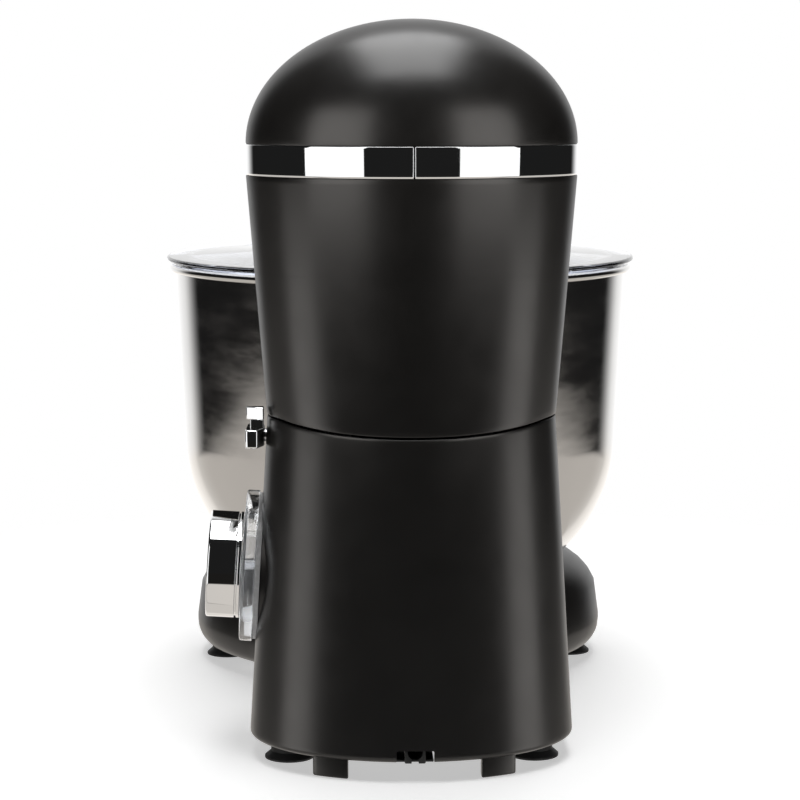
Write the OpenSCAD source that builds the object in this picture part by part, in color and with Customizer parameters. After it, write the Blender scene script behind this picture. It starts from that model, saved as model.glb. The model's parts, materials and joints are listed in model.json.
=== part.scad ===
// Tilt-head stand mixer, rebuilt as separate parts on real joints. Millimetres, +Z up.
// Origin: on the floor under the middle of the box. The bowl is towards -Y, the column towards +Y,
// and the speed dial and the release lever are on the +X side.

/* [Column and head] */
// Height of the top of the head over the floor
top_z = 340; // [336:1:346]
// Half the width of the head at the chrome band
head_half_w = 75.4; // [74:0.1:77]
// Half the width of the column at the tilt seam
waist_half_w = 66.3; // [65:0.1:68]
// Height of the seam between base and head, at the column's sides
seam_z = 160.4; // [158:0.1:163]
// How steeply the seam drops round the back of the column
seam_slope = 0.2; // [0.1:0.01:0.24]
// Height of the lower edge of the chrome band
band_z = 270; // [268:1:272]
// Height of the chrome band
band_h = 14; // [12:1:15]
// Thickness of the plastic shells
wall = 3; // [2.5:0.1:3.2]

/* [Bowl] */
// Radius of the bowl's straight upper wall at the rim
bowl_rim_r = 117.9; // [117:0.1:119]
// Radius of the splash guard, the widest part of the mixer
guard_r = 122.5; // [121:0.1:124]
// Height of the bowl's rim
rim_z = 217.4; // [216:0.1:218]
// Thickness of the bowl's steel
bowl_t = 1; // [0.8:0.1:1.2]

/* [Base] */
// Half the width of the base across its front lobes
lobe_half_w = 110; // [108:0.5:112]
// Height of the base's lower edge over the floor
skirt_z = 9.5; // [9:0.5:10]
// Radius of a suction foot's lip
foot_r = 11.5; // [10.5:0.5:12]

/* [Controls] */
// Radius of the chrome speed dial
dial_r = 25; // [23:0.5:26]
// Radius of the clear ring behind the dial
ring_r = 35.5; // [34:0.5:36]
// How far the dial's face leans back, in degrees
dial_lean = 3.5; // [3:0.5:6]

/* [Drive] */
// Gear module
gear_m = 1.5; // [1.5]
// Teeth on the big gear of the output shaft
main_teeth = 45; // [45]
// Teeth on the pinion of the layshaft
pinion_teeth = 15; // [15]
// Teeth of the fixed internal ring gear
ring_teeth = 48; // [48]
// Teeth of the planet gear that carries the beater
planet_teeth = 16; // [16]

/* [Hidden] */
$fn = 64;

eps = 0.01;
big = 400;
running = 0.04;          // radial clearance of a shaft in its bearing

// column and head outline
widest_y = 122;          // the column is widest here
depth_ratio = 0.711;     // its half-ellipse back is this deep for its half width
neck_reach = 47;         // from the widest line to the front of the neck
head_reach = 272;        // from the widest line to the nose
front_steps = 17;        // stations along each side of an outline, ahead of the widest line
back_steps = 11;         // and behind it
skirt_half_w = 75.4;     // half width of the column at the floor
seam_gap = 0.9;
seam_bend_y = 143;       // level ahead of this line, the seam drops behind it
band_top = band_z + band_h;
dome_h = top_z - band_top;

// bowl profile: a half ellipsoid under a nearly straight wall
bowl_y = -53.25;
belly_r = 113.8;
belly_z = 126.6;
belly_depth = 95.7;
bowl_floor_z = 48;

// base platform
lobe_y = -85;
lobe_front = 85;
lobe_back = 98;
lobe_mid_z = 22;         // the lobes are widest at this height
lobe_h = 46;             // and their round tops close this far above it
deck_z = lobe_mid_z + lobe_h;

// hinge of the head
hinge_y = 146;
hinge_z = 172;
hinge_r = 5;

// shafts of the drive
motor_y = 120;
pinion_dist = gear_m * (main_teeth + pinion_teeth) / 2;
layshaft_y = bowl_y + pinion_dist;
planet_dist = gear_m * (ring_teeth - planet_teeth) / 2;
planet_y = bowl_y + planet_dist;
motor_r = 4;
layshaft_r = 5;
output_r = 7;
planet_r = 6;
motor_pulley_r = 12;
large_pulley_r = 36;
belt_z = 275;
belt_w = 11;
belt_t = 2.4;

// controls
dial_y = 103;
dial_z = 85.5;
dial_x = 71.2;           // plane of the clear ring's back, at the dial's axis
lever_y = 118;
lever_z = 150;
lever_r = 3;

foot_spots = [[57, 128], [93.5, -80], [46, -143]];
plate_screw_spots = [[62, 60], [70, 95], [60, -130], [84, -45]];
// x, y, and the heights where the bosses in the lower housing start and those in the cover end
cover_screw_spots = [[56, 84, 240, 314], [56, 20, 231.7, 314], [26, -104, 236.5, 319.5]];
bracket_screw_spots = [[46, 96], [46, 138]];
case_screw_spots = [[0, -96], [38, -74], [-38, -74], [27, -6], [-27, -6], [0, 22]];

// ---------- outlines and lofts ----------

function super(u, n) = pow(max(0, 1 - pow(max(0, u), n)), 1 / n);

// half width of the column or head outline at y
function body_w(y, a, b, f, n) = y > widest_y
    ? a * super((y - widest_y) / b, 2)
    : a * super((widest_y - y) / f, n);

// half width of the platform's lobes at y, for their scale s and an inward offset
function lobe_w(y, s, inset) = s <= 0 ? 0 : (lobe_half_w * s - inset) * super(
    y < lobe_y ? (lobe_y - y) / (lobe_front * s - inset) : (y - lobe_y) / (lobe_back * s - inset), 2);

function blend_w(w1, w2) = pow(pow(w1, 8) + pow(w2, 8), 1 / 8);

function seam_drop(y) = let (d = seam_slope * (y - seam_bend_y)) (d + sqrt(d * d + 1)) / 2;

// one closed outline: a, b, f, n as in body_w; s, inset for the lobes; at_seam bends it down at the back
function outline(z, a, b, f, n, s = 0, inset = 0, at_seam = false) =
    let (
        front = min(widest_y - f, s > 0 ? lobe_y - lobe_front * s + inset : widest_y),
        back = widest_y + b,
        half_steps = front_steps + back_steps,
        y_at = concat(
            [for (i = [0:front_steps]) front + (widest_y - front) * (1 - cos(90 * i / front_steps))],
            [for (i = [1:back_steps]) widest_y + (back - widest_y) * sin(90 * i / back_steps)]
        ),
        keel = s > 0 ? 9 - 1.3 * inset : 0,
        w_at = [for (i = [0:half_steps]) let (y = y_at[i])
            i == 0 || i == half_steps ? 0 : max(keel, blend_w(lobe_w(y, s, inset), body_w(y, a, b, f, n)))]
    )
    concat(
        [for (i = [0:half_steps]) [w_at[i], y_at[i], z - (at_seam ? seam_drop(y_at[i]) : 0)]],
        [for (i = [half_steps - 1:-1:1]) [-w_at[i], y_at[i], z - (at_seam ? seam_drop(y_at[i]) : 0)]]
    );

function flat(list) = [for (part = list) for (x = part) x];

function skin(rings, count, from, to) = [
    for (r = [0:count - 1]) for (i = [0:rings - 1])
        let (
            j = (i + 1) % rings,
            low = from + r * rings,
            high = (r == count - 1 && to >= 0) ? to : low + rings
        )
        each [[low + i, high + i, high + j], [low + i, high + j, low + j]]
];

// a solid through outlines, closed by flat ends
module loft(outlines) {
    m = len(outlines[0]);
    k = len(outlines);
    polyhedron(
        points = flat(outlines),
        faces = concat(
            [[for (i = [0:m - 1]) i]],
            skin(m, k - 1, 0, -1),
            [[for (i = [m - 1:-1:0]) (k - 1) * m + i]]
        ),
        convexity = 8
    );
}

// a shell: outlines run up its outside and down its inside, open at both ends
module shell(outlines) {
    m = len(outlines[0]);
    k = len(outlines);
    polyhedron(points = flat(outlines), faces = skin(m, k, 0, 0), convexity = 8);
}

module mirrored() {
    children();
    mirror([1, 0, 0]) children();
}

// ---------- gears ----------

function inv(phi) = tan(phi) * 180 / PI - phi;
function polar(r, angle) = [r * cos(angle), r * sin(angle)];

// outline of a spur gear with involute flanks; play widens or narrows each tooth at the pitch circle
module spur_2d(teeth, add, ded, play) {
    pitch = gear_m * teeth / 2;
    base = pitch * cos(20);
    top = pitch + add;
    root = pitch - ded;
    half_at_pitch = 90 / teeth - play / pitch * 90 / PI;
    flank_steps = 3;
    radii = concat([root], [for (k = [0:flank_steps])
        let (low = max(base, root + 0.05)) low + (top - low) * k / flank_steps]);
    half_at = [for (r = radii) half_at_pitch + inv(20) - inv(acos(min(1, base / r)))];
    last = len(radii) - 1;
    polygon([for (t = [0:teeth - 1]) each concat(
        [for (k = [0:last]) polar(radii[k], 360 * t / teeth - half_at[k])],
        [for (k = [last:-1:0]) polar(radii[k], 360 * t / teeth + half_at[k])]
    )]);
}

// ---------- shapes of the base ----------

function base_a(z) = skirt_half_w + (waist_half_w - skirt_half_w) * (z - 10) / (seam_z - 10)
    - 4 * pow(max(0, (17 - z) / 7.5), 2.5);
function lobe_s(z, h) = z < lobe_mid_z
    ? 1 - 0.044 * pow((lobe_mid_z - z) / 13, 3)
    : super((z - lobe_mid_z) / h, 3);
function deck_reach(z, h) = neck_reach + 143 * (z < lobe_mid_z ? 1 : super((z - lobe_mid_z) / h, 3));
function deck_n(z, h) = 2.2 + 1.3 * (z < lobe_mid_z ? 1 : super((z - lobe_mid_z) / h, 3));

function base_outline(z, inset, at_seam = false) =
    let (h = lobe_h - inset, s = lobe_s(z, h), a = base_a(z))
    outline(z, a - inset, a * depth_ratio - inset, deck_reach(z, h) - inset,
        z > deck_z - inset ? 3.5 : deck_n(z, h), s, inset, at_seam);

base_low = [skirt_z, 11, 13, 17, 22, 32, 42, 50, 56, 60, 63, 65];
base_outer = concat(
    [for (z = base_low) base_outline(z, 0)],
    [for (z = [67, deck_z + 0.5, 90, 125]) base_outline(z, 0)],
    [base_outline(seam_z - seam_gap / 2, 0, true)]
);
// the rim's inner edge is bevelled at the back, where the head's lip swings down past it
function bevelled(ring) = [for (p = ring) [p[0], p[1], p[2] - 0.3 * max(0, p[1] - hinge_y + 3)]];
base_inner = concat(
    [bevelled(base_outline(seam_z - seam_gap / 2, wall, true))],
    [for (z = [125, 90, deck_z - wall + 0.5, 64]) base_outline(z, wall)],
    [for (z = [62, 59, 54, 47, 36, 22, 14, skirt_z]) base_outline(z, wall)]
);

function bowl_r_at(z) = z > belly_z
    ? belly_r + (bowl_rim_r - belly_r) * (z - belly_z) / (212.6 - belly_z)
    : belly_r * sqrt(max(0, 1 - pow((belly_z - z) / belly_depth, 2)));

seat_floor_z = 41;
seat_heights = [48, 54, 60, 66];

// the hollow that the bowl sinks into, this far outside the bowl
module bowl_hollow(gap, floor_z, top) {
    translate([0, bowl_y, 0]) rotate_extrude($fn = 96) polygon(concat(
        [[0, floor_z], [60 + gap, floor_z]],
        [for (z = seat_heights) [bowl_r_at(z) + gap, z]],
        [[bowl_r_at(76) + gap, 76], [bowl_r_at(76) + gap, top], [0, top]]
    ));
}

// the rear wall runs down to the floor as two short anti-tip legs
module rear_leg() {
    a = base_a(skirt_z);
    b = a * depth_ratio;
    xs = [for (k = [0:4]) 30 + 4 * k];
    translate([0, 0, 0.4]) linear_extrude(13) polygon(concat(
        [for (x = xs) [x, widest_y + b * super(x / a, 2) - 0.6]],
        [for (k = [4:-1:0]) [xs[k], widest_y + b * super(xs[k] / a, 2) - 8]]
    ));
}

module at_dial() {
    translate([dial_x, dial_y, dial_z]) rotate([0, 90 - dial_lean, 0]) children();
}

module base_housing() {
    color([0.1, 0.1, 0.1]) difference() {
        union() {
            shell(concat(base_outer, base_inner));
            mirrored() rear_leg();
            // posts for the hinge bracket and for the bottom plate
            mirrored() for (p = bracket_screw_spots) translate([p[0], p[1], 100]) cylinder(r = 5, h = 28);
            mirrored() for (p = bracket_screw_spots) translate([p[0], p[1] - 3, 100]) cube([24 - abs(p[1] - 110) / 3, 6, 24]);
            // round boss that carries the dial
            at_dial() translate([0, 0, -21.5]) cylinder(r = ring_r - 1.9, h = 20.4);
        }
        bowl_hollow(6.4, 38.8, 80);
        at_dial() translate([0, 0, -20]) cylinder(r = 30, h = 24);
        at_dial() translate([0, 0, -24]) cylinder(r = 21, h = 8);
        at_dial() translate([0, 0, -1.1]) cylinder(r = ring_r - 0.8, h = 6);
        translate([40, lever_y, lever_z]) rotate([0, 90, 0]) cylinder(r = lever_r + running, h = 40);
        translate([-8.5, 150, -1]) cube([17, 40, 16]);
        mirrored() for (p = bracket_screw_spots) translate([p[0], p[1], 112]) cylinder(r = 1.8, h = 20);
    }
}

module bottom_plate() {
    edge = base_outline(skirt_z, wall + 0.4);
    color([0.12, 0.12, 0.12]) difference() {
        union() {
            translate([0, 0, skirt_z]) linear_extrude(3) polygon([for (p = edge) [p[0], p[1]]]);
            for (t = [30, 150, 270]) translate([0, bowl_y, skirt_z]) rotate(t) translate([34, 0, 0])
                cylinder(r = 5, h = 39 - skirt_z - 0.1);
            translate([-30, 60, skirt_z]) cube([60, 3, 22]);
            translate([-30, 120, skirt_z]) cube([60, 3, 22]);
        }
        mirrored() for (p = foot_spots) translate([p[0], p[1], 0]) cylinder(r = 3.6, h = 30);
        mirrored() for (p = plate_screw_spots) translate([p[0] - 3, p[1], 0]) cylinder(r = 2, h = 30);
        mirrored() translate([28, 145, 0]) cube([20, 40, 30]);
        translate([-9.5, 148, 0]) cube([19, 40, 30]);
        for (t = [30, 150, 270]) translate([0, bowl_y, 24]) rotate(t) translate([34, 0, 0]) cylinder(r = 1.7, h = 30);
        for (k = [-3:3]) translate([k * 8 - 2, 75, 0]) cube([4, 36, 30]);
    }
}

module screw(head_r, head_h, r, length) {
    difference() {
        cylinder(r = head_r, h = head_h);
        translate([0, 0, -eps]) cylinder(r = head_r * 0.45, h = head_h * 0.6, $fn = 6);
    }
    translate([0, 0, head_h - eps]) cylinder(r = r, h = length);
}

module bottom_screws() {
    color([0.7, 0.7, 0.72]) mirrored() for (p = plate_screw_spots)
        translate([p[0] - 3, p[1], skirt_z - 2]) screw(3.6, 2, 1.7, 9);
}

module suction_foot() {
    rotate_extrude() polygon([
        [0, 2.2], [9.5, 0], [foot_r, 0], [foot_r, 0.9], [8.6, 3.4], [8.6, skirt_z - 0.1], [3.4, skirt_z - 0.1],
        [3.4, skirt_z + 3.2], [4.6, skirt_z + 3.2], [3.4, skirt_z + 6], [0, skirt_z + 6]
    ]);
}

module suction_feet() {
    color([0.05, 0.05, 0.05]) mirrored() for (p = foot_spots) translate([p[0], p[1], 0]) suction_foot();
}

tab_in = 51.6;
tab_out = 60;
lug_out = 56;
module arc_block(r1, r2, z1, z2, from, sweep) {
    rotate(from) rotate_extrude(angle = sweep) translate([r1, z1]) square([r2 - r1, z2 - z1]);
}

module bowl_seat() {
    color([0.12, 0.12, 0.12]) difference() {
        union() {
            intersection() {
                difference() {
                    bowl_hollow(6.2, 39, 70);
                    bowl_hollow(4, seat_floor_z, 80);
                }
                loft([for (r = base_outer) r]);
            }
            translate([0, bowl_y, 0]) for (t = [0, 120, 240]) {
                arc_block(57, tab_out, seat_floor_z - 0.5, 46.3, t - 1, 45);
                arc_block(tab_in, 58, 44, 45.9, t, 40);
                arc_block(52.5, 58.5, seat_floor_z - 0.5, 45.4, t - 1, 3);
            }
        }
        for (t = [30, 150, 270]) translate([0, bowl_y, 30]) rotate(t) translate([34, 0, 0]) cylinder(r = 2, h = 30);
    }
}

module seat_screws() {
    color([0.7, 0.7, 0.72]) for (t = [30, 150, 270]) translate([0, bowl_y, seat_floor_z + 2]) rotate(t)
        translate([34, 0, 0]) mirror([0, 0, 1]) screw(3.6, 1.9, 1.6, 11);
}

gland_y = 171;
module cord_gland() {
    color([0.06, 0.06, 0.06]) difference() {
        union() {
            translate([-4.75, 150.5, 8]) cube([9.5, gland_y - 150.5, 11]);
            translate([-8, 152, 10]) cube([16, 3, 12]);
        }
        translate([0, 140, 13.2]) rotate([-90, 0, 0]) cylinder(r = 3.4, h = 60);
    }
}

module dial_light_ring() {
    color([0.85, 0.88, 0.9, 0.5]) at_dial() rotate_extrude() polygon([
        [27, 1.2], [ring_r - 0.8, 1.2], [ring_r, 2], [ring_r, 6.4], [ring_r - 1.2, 7.5], [28, 7.5], [27, 6.5]
    ]);
}

module dial_backplate() {
    color([0.5, 0.5, 0.52]) at_dial() difference() {
        union() {
            translate([0, 0, -1]) cylinder(r = ring_r - 1, h = 2.2);
            translate([0, 0, -6]) cylinder(r = 29.6, h = 5 + eps);
        }
        translate([0, 0, -7]) cylinder(r = 8, h = 10);
    }
}

module rotary_switch() {
    color([0.2, 0.2, 0.22]) at_dial() difference() {
        union() {
            translate([-13, -15, -23]) cube([26, 30, 16]);
            translate([0, 0, -7.5]) cylinder(r = 6, h = 7);
        }
        translate([0, 0, -21]) cylinder(r = 3 + running, h = 30);
    }
}

module switch_shaft() {
    color([0.75, 0.75, 0.77]) at_dial() translate([0, 0, -20]) difference() {
        cylinder(r = 3, h = 34);
        translate([1.6, -5, 24]) cube([5, 10, 20]);
    }
}

knob_h = 15.8;
module dial_knob() {
    color([0.85, 0.86, 0.88]) at_dial() translate([0, 0, 8]) difference() {
        rotate_extrude() polygon([
            [0, 0], [dial_r - 1, 0], [dial_r, 1], [dial_r, knob_h - 1.6], [dial_r - 1.6, knob_h],
            [dial_r - 4, knob_h], [dial_r - 5, knob_h - 0.8], [0, knob_h - 0.8]
        ]);
        translate([0, 0, -eps]) difference() {
            cylinder(r = 3, h = 6);
            translate([1.6, -5, -1]) cube([5, 10, 10]);
        }
        translate([0, 0, -1]) difference() {
            cylinder(r = dial_r - 3, h = 9);
            translate([0, 0, -1]) cylinder(r = 8, h = 12);
        }
        // pointer groove
        translate([-1, 10, knob_h - 1.2]) cube([2, 9, 3]);
    }
}

module control_board() {
    color([0.1, 0.35, 0.15]) {
        translate([-26, 66, 36]) cube([52, 50, 1.6]);
        for (p = [[-18, 76, 9, 14], [2, 80, 12, 9], [-16, 100, 14, 6]])
            translate([p[0], p[1], 37.5]) cube([p[2], p[2], p[3]]);
    }
}

module heat_sink() {
    color([0.75, 0.75, 0.77]) translate([20, 96, 37.7]) {
        cube([3, 18, 20]);
        for (k = [0:3]) translate([2.9, 1 + k * 5, 0]) cube([7, 1.6, 20]);
    }
}

plate_edge_z = 128;
module hinge_bracket() {
    edge = base_outline(plate_edge_z + 8, wall + 1.2);
    color([0.6, 0.6, 0.62]) difference() {
        union() {
            translate([0, 0, plate_edge_z]) linear_extrude(5) polygon([for (p = edge) [p[0], p[1]]]);
            mirrored() translate([28, 0, 0]) rotate([90, 0, 90]) linear_extrude(8) hull() {
                translate([hinge_y, hinge_z]) circle(r = 10.5, $fn = 32);
                translate([hinge_y - 44, plate_edge_z + 4]) square([30, 1]);
            }
            // bearing lug of the lever's shaft
            translate([38, lever_y - 8, plate_edge_z + 4]) cube([5, 16, lever_z + 7 - plate_edge_z - 4]);
        }
        translate([-60, hinge_y, hinge_z]) rotate([0, 90, 0]) cylinder(r = hinge_r + 0.01, h = 120);
        mirrored() for (p = bracket_screw_spots) translate([p[0], p[1], 110]) cylinder(r = 2.2, h = 40);
        translate([30, lever_y, lever_z]) rotate([0, 90, 0]) cylinder(r = lever_r + running, h = 40);
        translate([-22, 84, 120]) cube([44, 24, 20]);
    }
}

module bracket_screws() {
    color([0.7, 0.7, 0.72]) mirrored() for (p = bracket_screw_spots)
        translate([p[0], p[1], plate_edge_z + 7.5]) mirror([0, 0, 1]) screw(4, 2.5, 1.8, 14);
}

module hinge_pin() {
    color([0.8, 0.8, 0.82]) translate([-39, hinge_y, hinge_z]) rotate([0, 90, 0]) difference() {
        cylinder(r = hinge_r, h = 78);
        for (x = [1.2, 75.8]) translate([0, 0, x]) difference() {
            cylinder(r = hinge_r + 1, h = 1);
            translate([0, 0, -1]) cylinder(r = hinge_r - 1, h = 3);
        }
    }
}

module pin_clips() {
    color([0.3, 0.3, 0.32]) for (x = [-37.75, 36.85]) translate([x, hinge_y, hinge_z]) rotate([0, 90, 0]) difference() {
        cylinder(r = hinge_r + 3, h = 0.9);
        translate([0, 0, -1]) cylinder(r = hinge_r - 0.9, h = 3);
        translate([-3, 0, -1]) cube([6, 20, 3]);
    }
}

// ---------- spring, lever and latch ----------

coil_r = 6.2;
module lever_spring() {
    color([0.55, 0.55, 0.57]) translate([53.5, lever_y, lever_z]) rotate([0, 90, 0]) {
        for (k = [0:3]) translate([0, 0, k * 1.5]) rotate_extrude() translate([coil_r, 0]) circle(r = 0.65, $fn = 16);
        translate([coil_r, 0, -0.4]) cylinder(r = 0.55, h = 5.3);
    }
}

lever_in = 67.8;
lever_out = 76.3;
module release_lever() {
    color([0.85, 0.86, 0.88]) difference() {
        union() {
            translate([lever_in, lever_y, lever_z]) rotate([0, 90, 0]) cylinder(r = lever_r + 1.8, h = 5);
            // finger hook, its inner rear corner cut off
            translate([0, 0, 146.2]) linear_extrude(7) polygon([
                [lever_in, 113], [lever_out - 0.6, 113], [lever_out, 136], [70.2, 136], [lever_in, 129]
            ]);
            // its rounded top
            translate([0, 0, 153.1]) linear_extrude(1.5) polygon([
                [lever_in, 114.5], [lever_out - 1.4, 114.5], [lever_out - 1, 134.4], [70.6, 134.4], [lever_in, 128]
            ]);
            // upright thumb plate
            translate([lever_in, 126, 154.2]) cube([6.4, 3, 5.5]);
            translate([lever_in, 125.5, 158.6]) cube([lever_out - 0.5 - lever_in, 5.5, 5.8]);
        }
        translate([lever_in - 1, lever_y, lever_z]) rotate([0, 90, 0]) cylinder(r = lever_r, h = 4.5);
    }
}

module lever_shaft() {
    color([0.7, 0.7, 0.72]) translate([38, lever_y, lever_z]) rotate([0, 90, 0]) cylinder(r = lever_r, h = lever_in + 3.4 - 38);
}

module latch_hook() {
    color([0.6, 0.6, 0.62]) translate([45, lever_y, lever_z]) rotate([90, 0, 90]) linear_extrude(5) difference() {
        union() {
            circle(r = 7.5);
            translate([-6, 0]) square([7, 22]);
            translate([-6, 18]) square([8.5, 5]);
        }
        circle(r = lever_r);
    }
}

// ---------- shells of the head ----------

function head_a(z) = waist_half_w + (head_half_w - waist_half_w) * (z - 158) / (band_z - 158);
function head_outline(z, f, n, inset, at_seam = false) =
    outline(z, head_a(z) - inset, head_a(z) * depth_ratio - inset, f - inset, n, 0, 0, at_seam);

// height, reach and roundness of the outside, from the seam round the underside to the band
head_skin = [[185, 47, 3.5], [222, 47, 3.5], [226.5, 49, 3.4], [228.6, 58, 3], [229.6, 95, 2.5], [230.2, 160, 2.2],
    [230.8, 222, 2.1], [232.4, 240, 2.1], [236, 252, 2.2], [243, 262, 2.4], [255, 269, 2.6], [band_z, head_reach, 2.8]];

module head_shell() {
    lip = 2.8;
    shell(concat(
        [head_outline(seam_z + seam_gap / 2, neck_reach, 3.5, 0, true)],
        [for (s = head_skin) head_outline(s[0], s[1], s[2], 0)],
        [head_outline(band_z + eps, head_reach, 2.8, lip), head_outline(band_z + band_h / 2 - 0.1, head_reach, 2.8, lip)],
        [head_outline(band_z + band_h / 2 - 0.1, head_reach, 2.8, lip + 2.2)],
        [for (s = [[255, 269, 2.6], [244, 261, 2.4], [238, 249, 2.2], [235.2, 232, 2.1], [234, 205, 2.1]])
            head_outline(s[0], s[1], s[2], wall)],
        [for (s = [[233.3, 150, 2.2], [232.8, 90, 2.5], [231.6, 58, 3], [228, 47, 3.4], [185, 47, 3.5]])
            head_outline(s[0], s[1], s[2], wall)],
        [head_outline(seam_z + seam_gap / 2, neck_reach, 3.5, wall, true)]
    ));
}

hub_hole_r = 46.5;
module head_lower_housing() {
    color([0.1, 0.1, 0.1]) difference() {
        union() {
            head_shell();
            mirrored() for (p = cover_screw_spots) translate([p[0], p[1], p[2]]) cylinder(r = 4.5, h = 268 - p[2]);
            mirrored() translate([57, 82, 240]) cube([13, 4, 26]);
        }
        translate([0, bowl_y, 225]) cylinder(r = hub_hole_r, h = 12);
        mirrored() for (p = cover_screw_spots) translate([p[0], p[1], p[2] - 8]) {
            cylinder(r = 2.1, h = 60);
            cylinder(r = 3.9, h = 270 - p[2]);
        }
    }
}

module chrome_band() {
    rise = 0.3;
    color([0.9, 0.9, 0.92]) difference() {
        shell([
            head_outline(band_z + 0.1, head_reach, 2.8, 0), head_outline(band_z + 0.8, head_reach, 2.8, -rise),
            head_outline(band_top - 0.8, head_reach, 2.8, -rise + 0.9), head_outline(band_top - 0.1, head_reach, 2.8, 1.1),
            head_outline(band_top - 0.1, head_reach, 2.8, 2.6), head_outline(band_z + 0.1, head_reach, 2.8, 2.6)
        ]);
        translate([0.45, 150, band_z - 5]) cube([0.5, 60, 30]);
    }
}

// outline of the dome at a height over the band
function dome_outline(h, inset) =
    let (
        u = min(1, h / (dome_h - inset)),
        wide = sqrt(max(0, 1 - u * u)),
        long = super(u, 3)
    )
    outline(band_top + h, (head_half_w - inset) * wide + eps, (head_half_w * depth_ratio - inset) * wide + eps,
        (head_reach - inset) * long + eps, 2.8);

dome_angles = [0, 7, 15, 24, 34, 45, 56, 66, 75, 83];
module dome_shell() {
    low = band_z + band_h / 2;
    lip = 2.8;
    side_a = head_half_w;
    inner_h = dome_h - wall;
    polyhedron_rings = concat(
        [for (e = [lip + 2.2, lip]) outline(low, side_a - e, side_a * depth_ratio - e, head_reach - e, 2.8)],
        [outline(band_top - 2 * eps, side_a - lip, side_a * depth_ratio - lip, head_reach - lip, 2.8)],
        [for (t = dome_angles) dome_outline(dome_h * sin(t), 0)]
    );
    inner_rings = concat(
        [for (t = [for (k = [len(dome_angles) - 1:-1:0]) dome_angles[k]]) dome_outline(inner_h * sin(t), wall)]
    );
    capped_shell(polyhedron_rings, inner_rings);
}

// outer outlines rise to a closed top; inner outlines come down from theirs to the first outer outline
module capped_shell(outside, inside) {
    m = len(outside[0]);
    k = len(outside);
    j = len(inside);
    polyhedron(
        points = concat(flat(outside), flat(inside)),
        faces = concat(
            skin(m, k - 1, 0, -1),
            [[for (i = [m - 1:-1:0]) (k - 1) * m + i]],
            [[for (i = [0:m - 1]) k * m + i]],
            skin(m, j, k * m, 0)
        ),
        convexity = 8
    );
}

module head_top_cover() {
    color([0.1, 0.1, 0.1]) difference() {
        union() {
            dome_shell();
            mirrored() for (p = cover_screw_spots) translate([p[0], p[1], 268.2]) cylinder(r = 4.5, h = p[3] - 268.2);
        }
        mirrored() for (p = cover_screw_spots) translate([p[0], p[1], 260]) cylinder(r = 1.7, h = 26);
    }
}

module cover_screws() {
    color([0.7, 0.7, 0.72]) mirrored() for (p = cover_screw_spots) translate([p[0], p[1], 259.5]) screw(3.6, 2.5, 1.65, 20);
}

// ---------- frame and motor in the head ----------

block_w = 27.4;
module hinge_block() {
    color([0.6, 0.6, 0.62]) difference() {
        union() {
            translate([-block_w, 0, 0]) rotate([90, 0, 90]) linear_extrude(2 * block_w) difference() {
                union() {
                    translate([hinge_y, hinge_z]) circle(r = 10.5);
                    translate([88, 178]) square([66, 7.8]);
                    translate([hinge_y - 9, hinge_z]) square([18, 12]);
                }
                translate([hinge_y, hinge_z]) circle(r = hinge_r + running);
            }
            // strike arm beside the latch
            translate([block_w - eps, 122, 180]) cube([24, 6, 5.8]);
            translate([44, 122, 168]) cube([7.4, 6, 17.8]);
        }
        mirrored() for (y = [97, 110]) translate([20, y, 170]) cylinder(r = 2.2, h = 30);
    }
}

module hinge_block_screws() {
    color([0.7, 0.7, 0.72]) mirrored() for (y = [97, 110]) translate([20, y, 175.4]) screw(3.8, 2.5, 1.9, 13);
}

frame_low = 186;
frame_top = 266.5;
module motor_frame() {
    color([0.62, 0.63, 0.65]) translate([0, motor_y, 0]) difference() {
        union() {
            translate([0, 0, frame_low]) cylinder(r = 31, h = 5);
            translate([0, 0, frame_low]) cylinder(r = 13, h = 9);
            translate([0, 0, frame_top]) cylinder(r = 31, h = 5);
            for (t = [45:90:315]) rotate(t) translate([37.5, 0, frame_low]) cylinder(r = 3, h = frame_top + 5 - frame_low);
            for (t = [45:90:315], z = [frame_low, frame_top]) rotate(t) translate([28, -3, z]) cube([9, 6, 5]);
        }
        translate([0, 0, frame_low + 2]) cylinder(r = 9.52, h = 12);
        translate([0, 0, frame_low - 1]) cylinder(r = 5.5, h = 20);
        translate([0, 0, frame_top - 1]) cylinder(r = 9.52, h = 10);
        mirrored() for (y = [97, 110]) translate([20, y - motor_y, 180]) cylinder(r = 1.95, h = 20);
    }
}

stator_low = 214;
stator_h = 34;
module stator_core() {
    color([0.45, 0.45, 0.47]) translate([0, motor_y, stator_low]) linear_extrude(stator_h) difference() {
        circle(r = 34);
        difference() {
            circle(r = 29.5);
            for (a = [0, 180]) rotate(a) translate([16, -11]) square([16, 22]);
        }
        circle(r = 22.3);
    }
}

module field_coils() {
    color([0.72, 0.4, 0.2]) for (a = [0, 180]) translate([0, motor_y, 0]) rotate(a) difference() {
        translate([23.2, -15.5, stator_low - 5]) cube([5.4, 31, stator_h + 10]);
        translate([20, -11.3, stator_low - 0.3]) cube([12, 22.6, stator_h + 0.6]);
        translate([0, 0, 200]) difference() {
            cylinder(r = 60, h = 60);
            translate([0, 0, -1]) cylinder(r = 29.3, h = 62);
        }
    }
}

brush_z = 205;
module brush_holders() {
    color([0.75, 0.6, 0.25]) for (s = [-1, 1]) translate([0, motor_y + s * 23, brush_z]) difference() {
        translate([-5, -8, -5]) cube([10, 16, 10]);
        translate([-3.3, -9, -3.3]) cube([6.6, 18, 6.6]);
    }
}

module carbon_brushes() {
    color([0.15, 0.15, 0.16]) for (s = [-1, 1]) translate([0, motor_y, brush_z]) intersection() {
        translate([-3.2, s > 0 ? 0 : -27, -3.2]) cube([6.4, 27, 6.4]);
        difference() {
            translate([0, 0, -5]) cylinder(r = 27, h = 10);
            translate([0, 0, -6]) cylinder(r = 13.1, h = 12);
        }
    }
}

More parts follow.
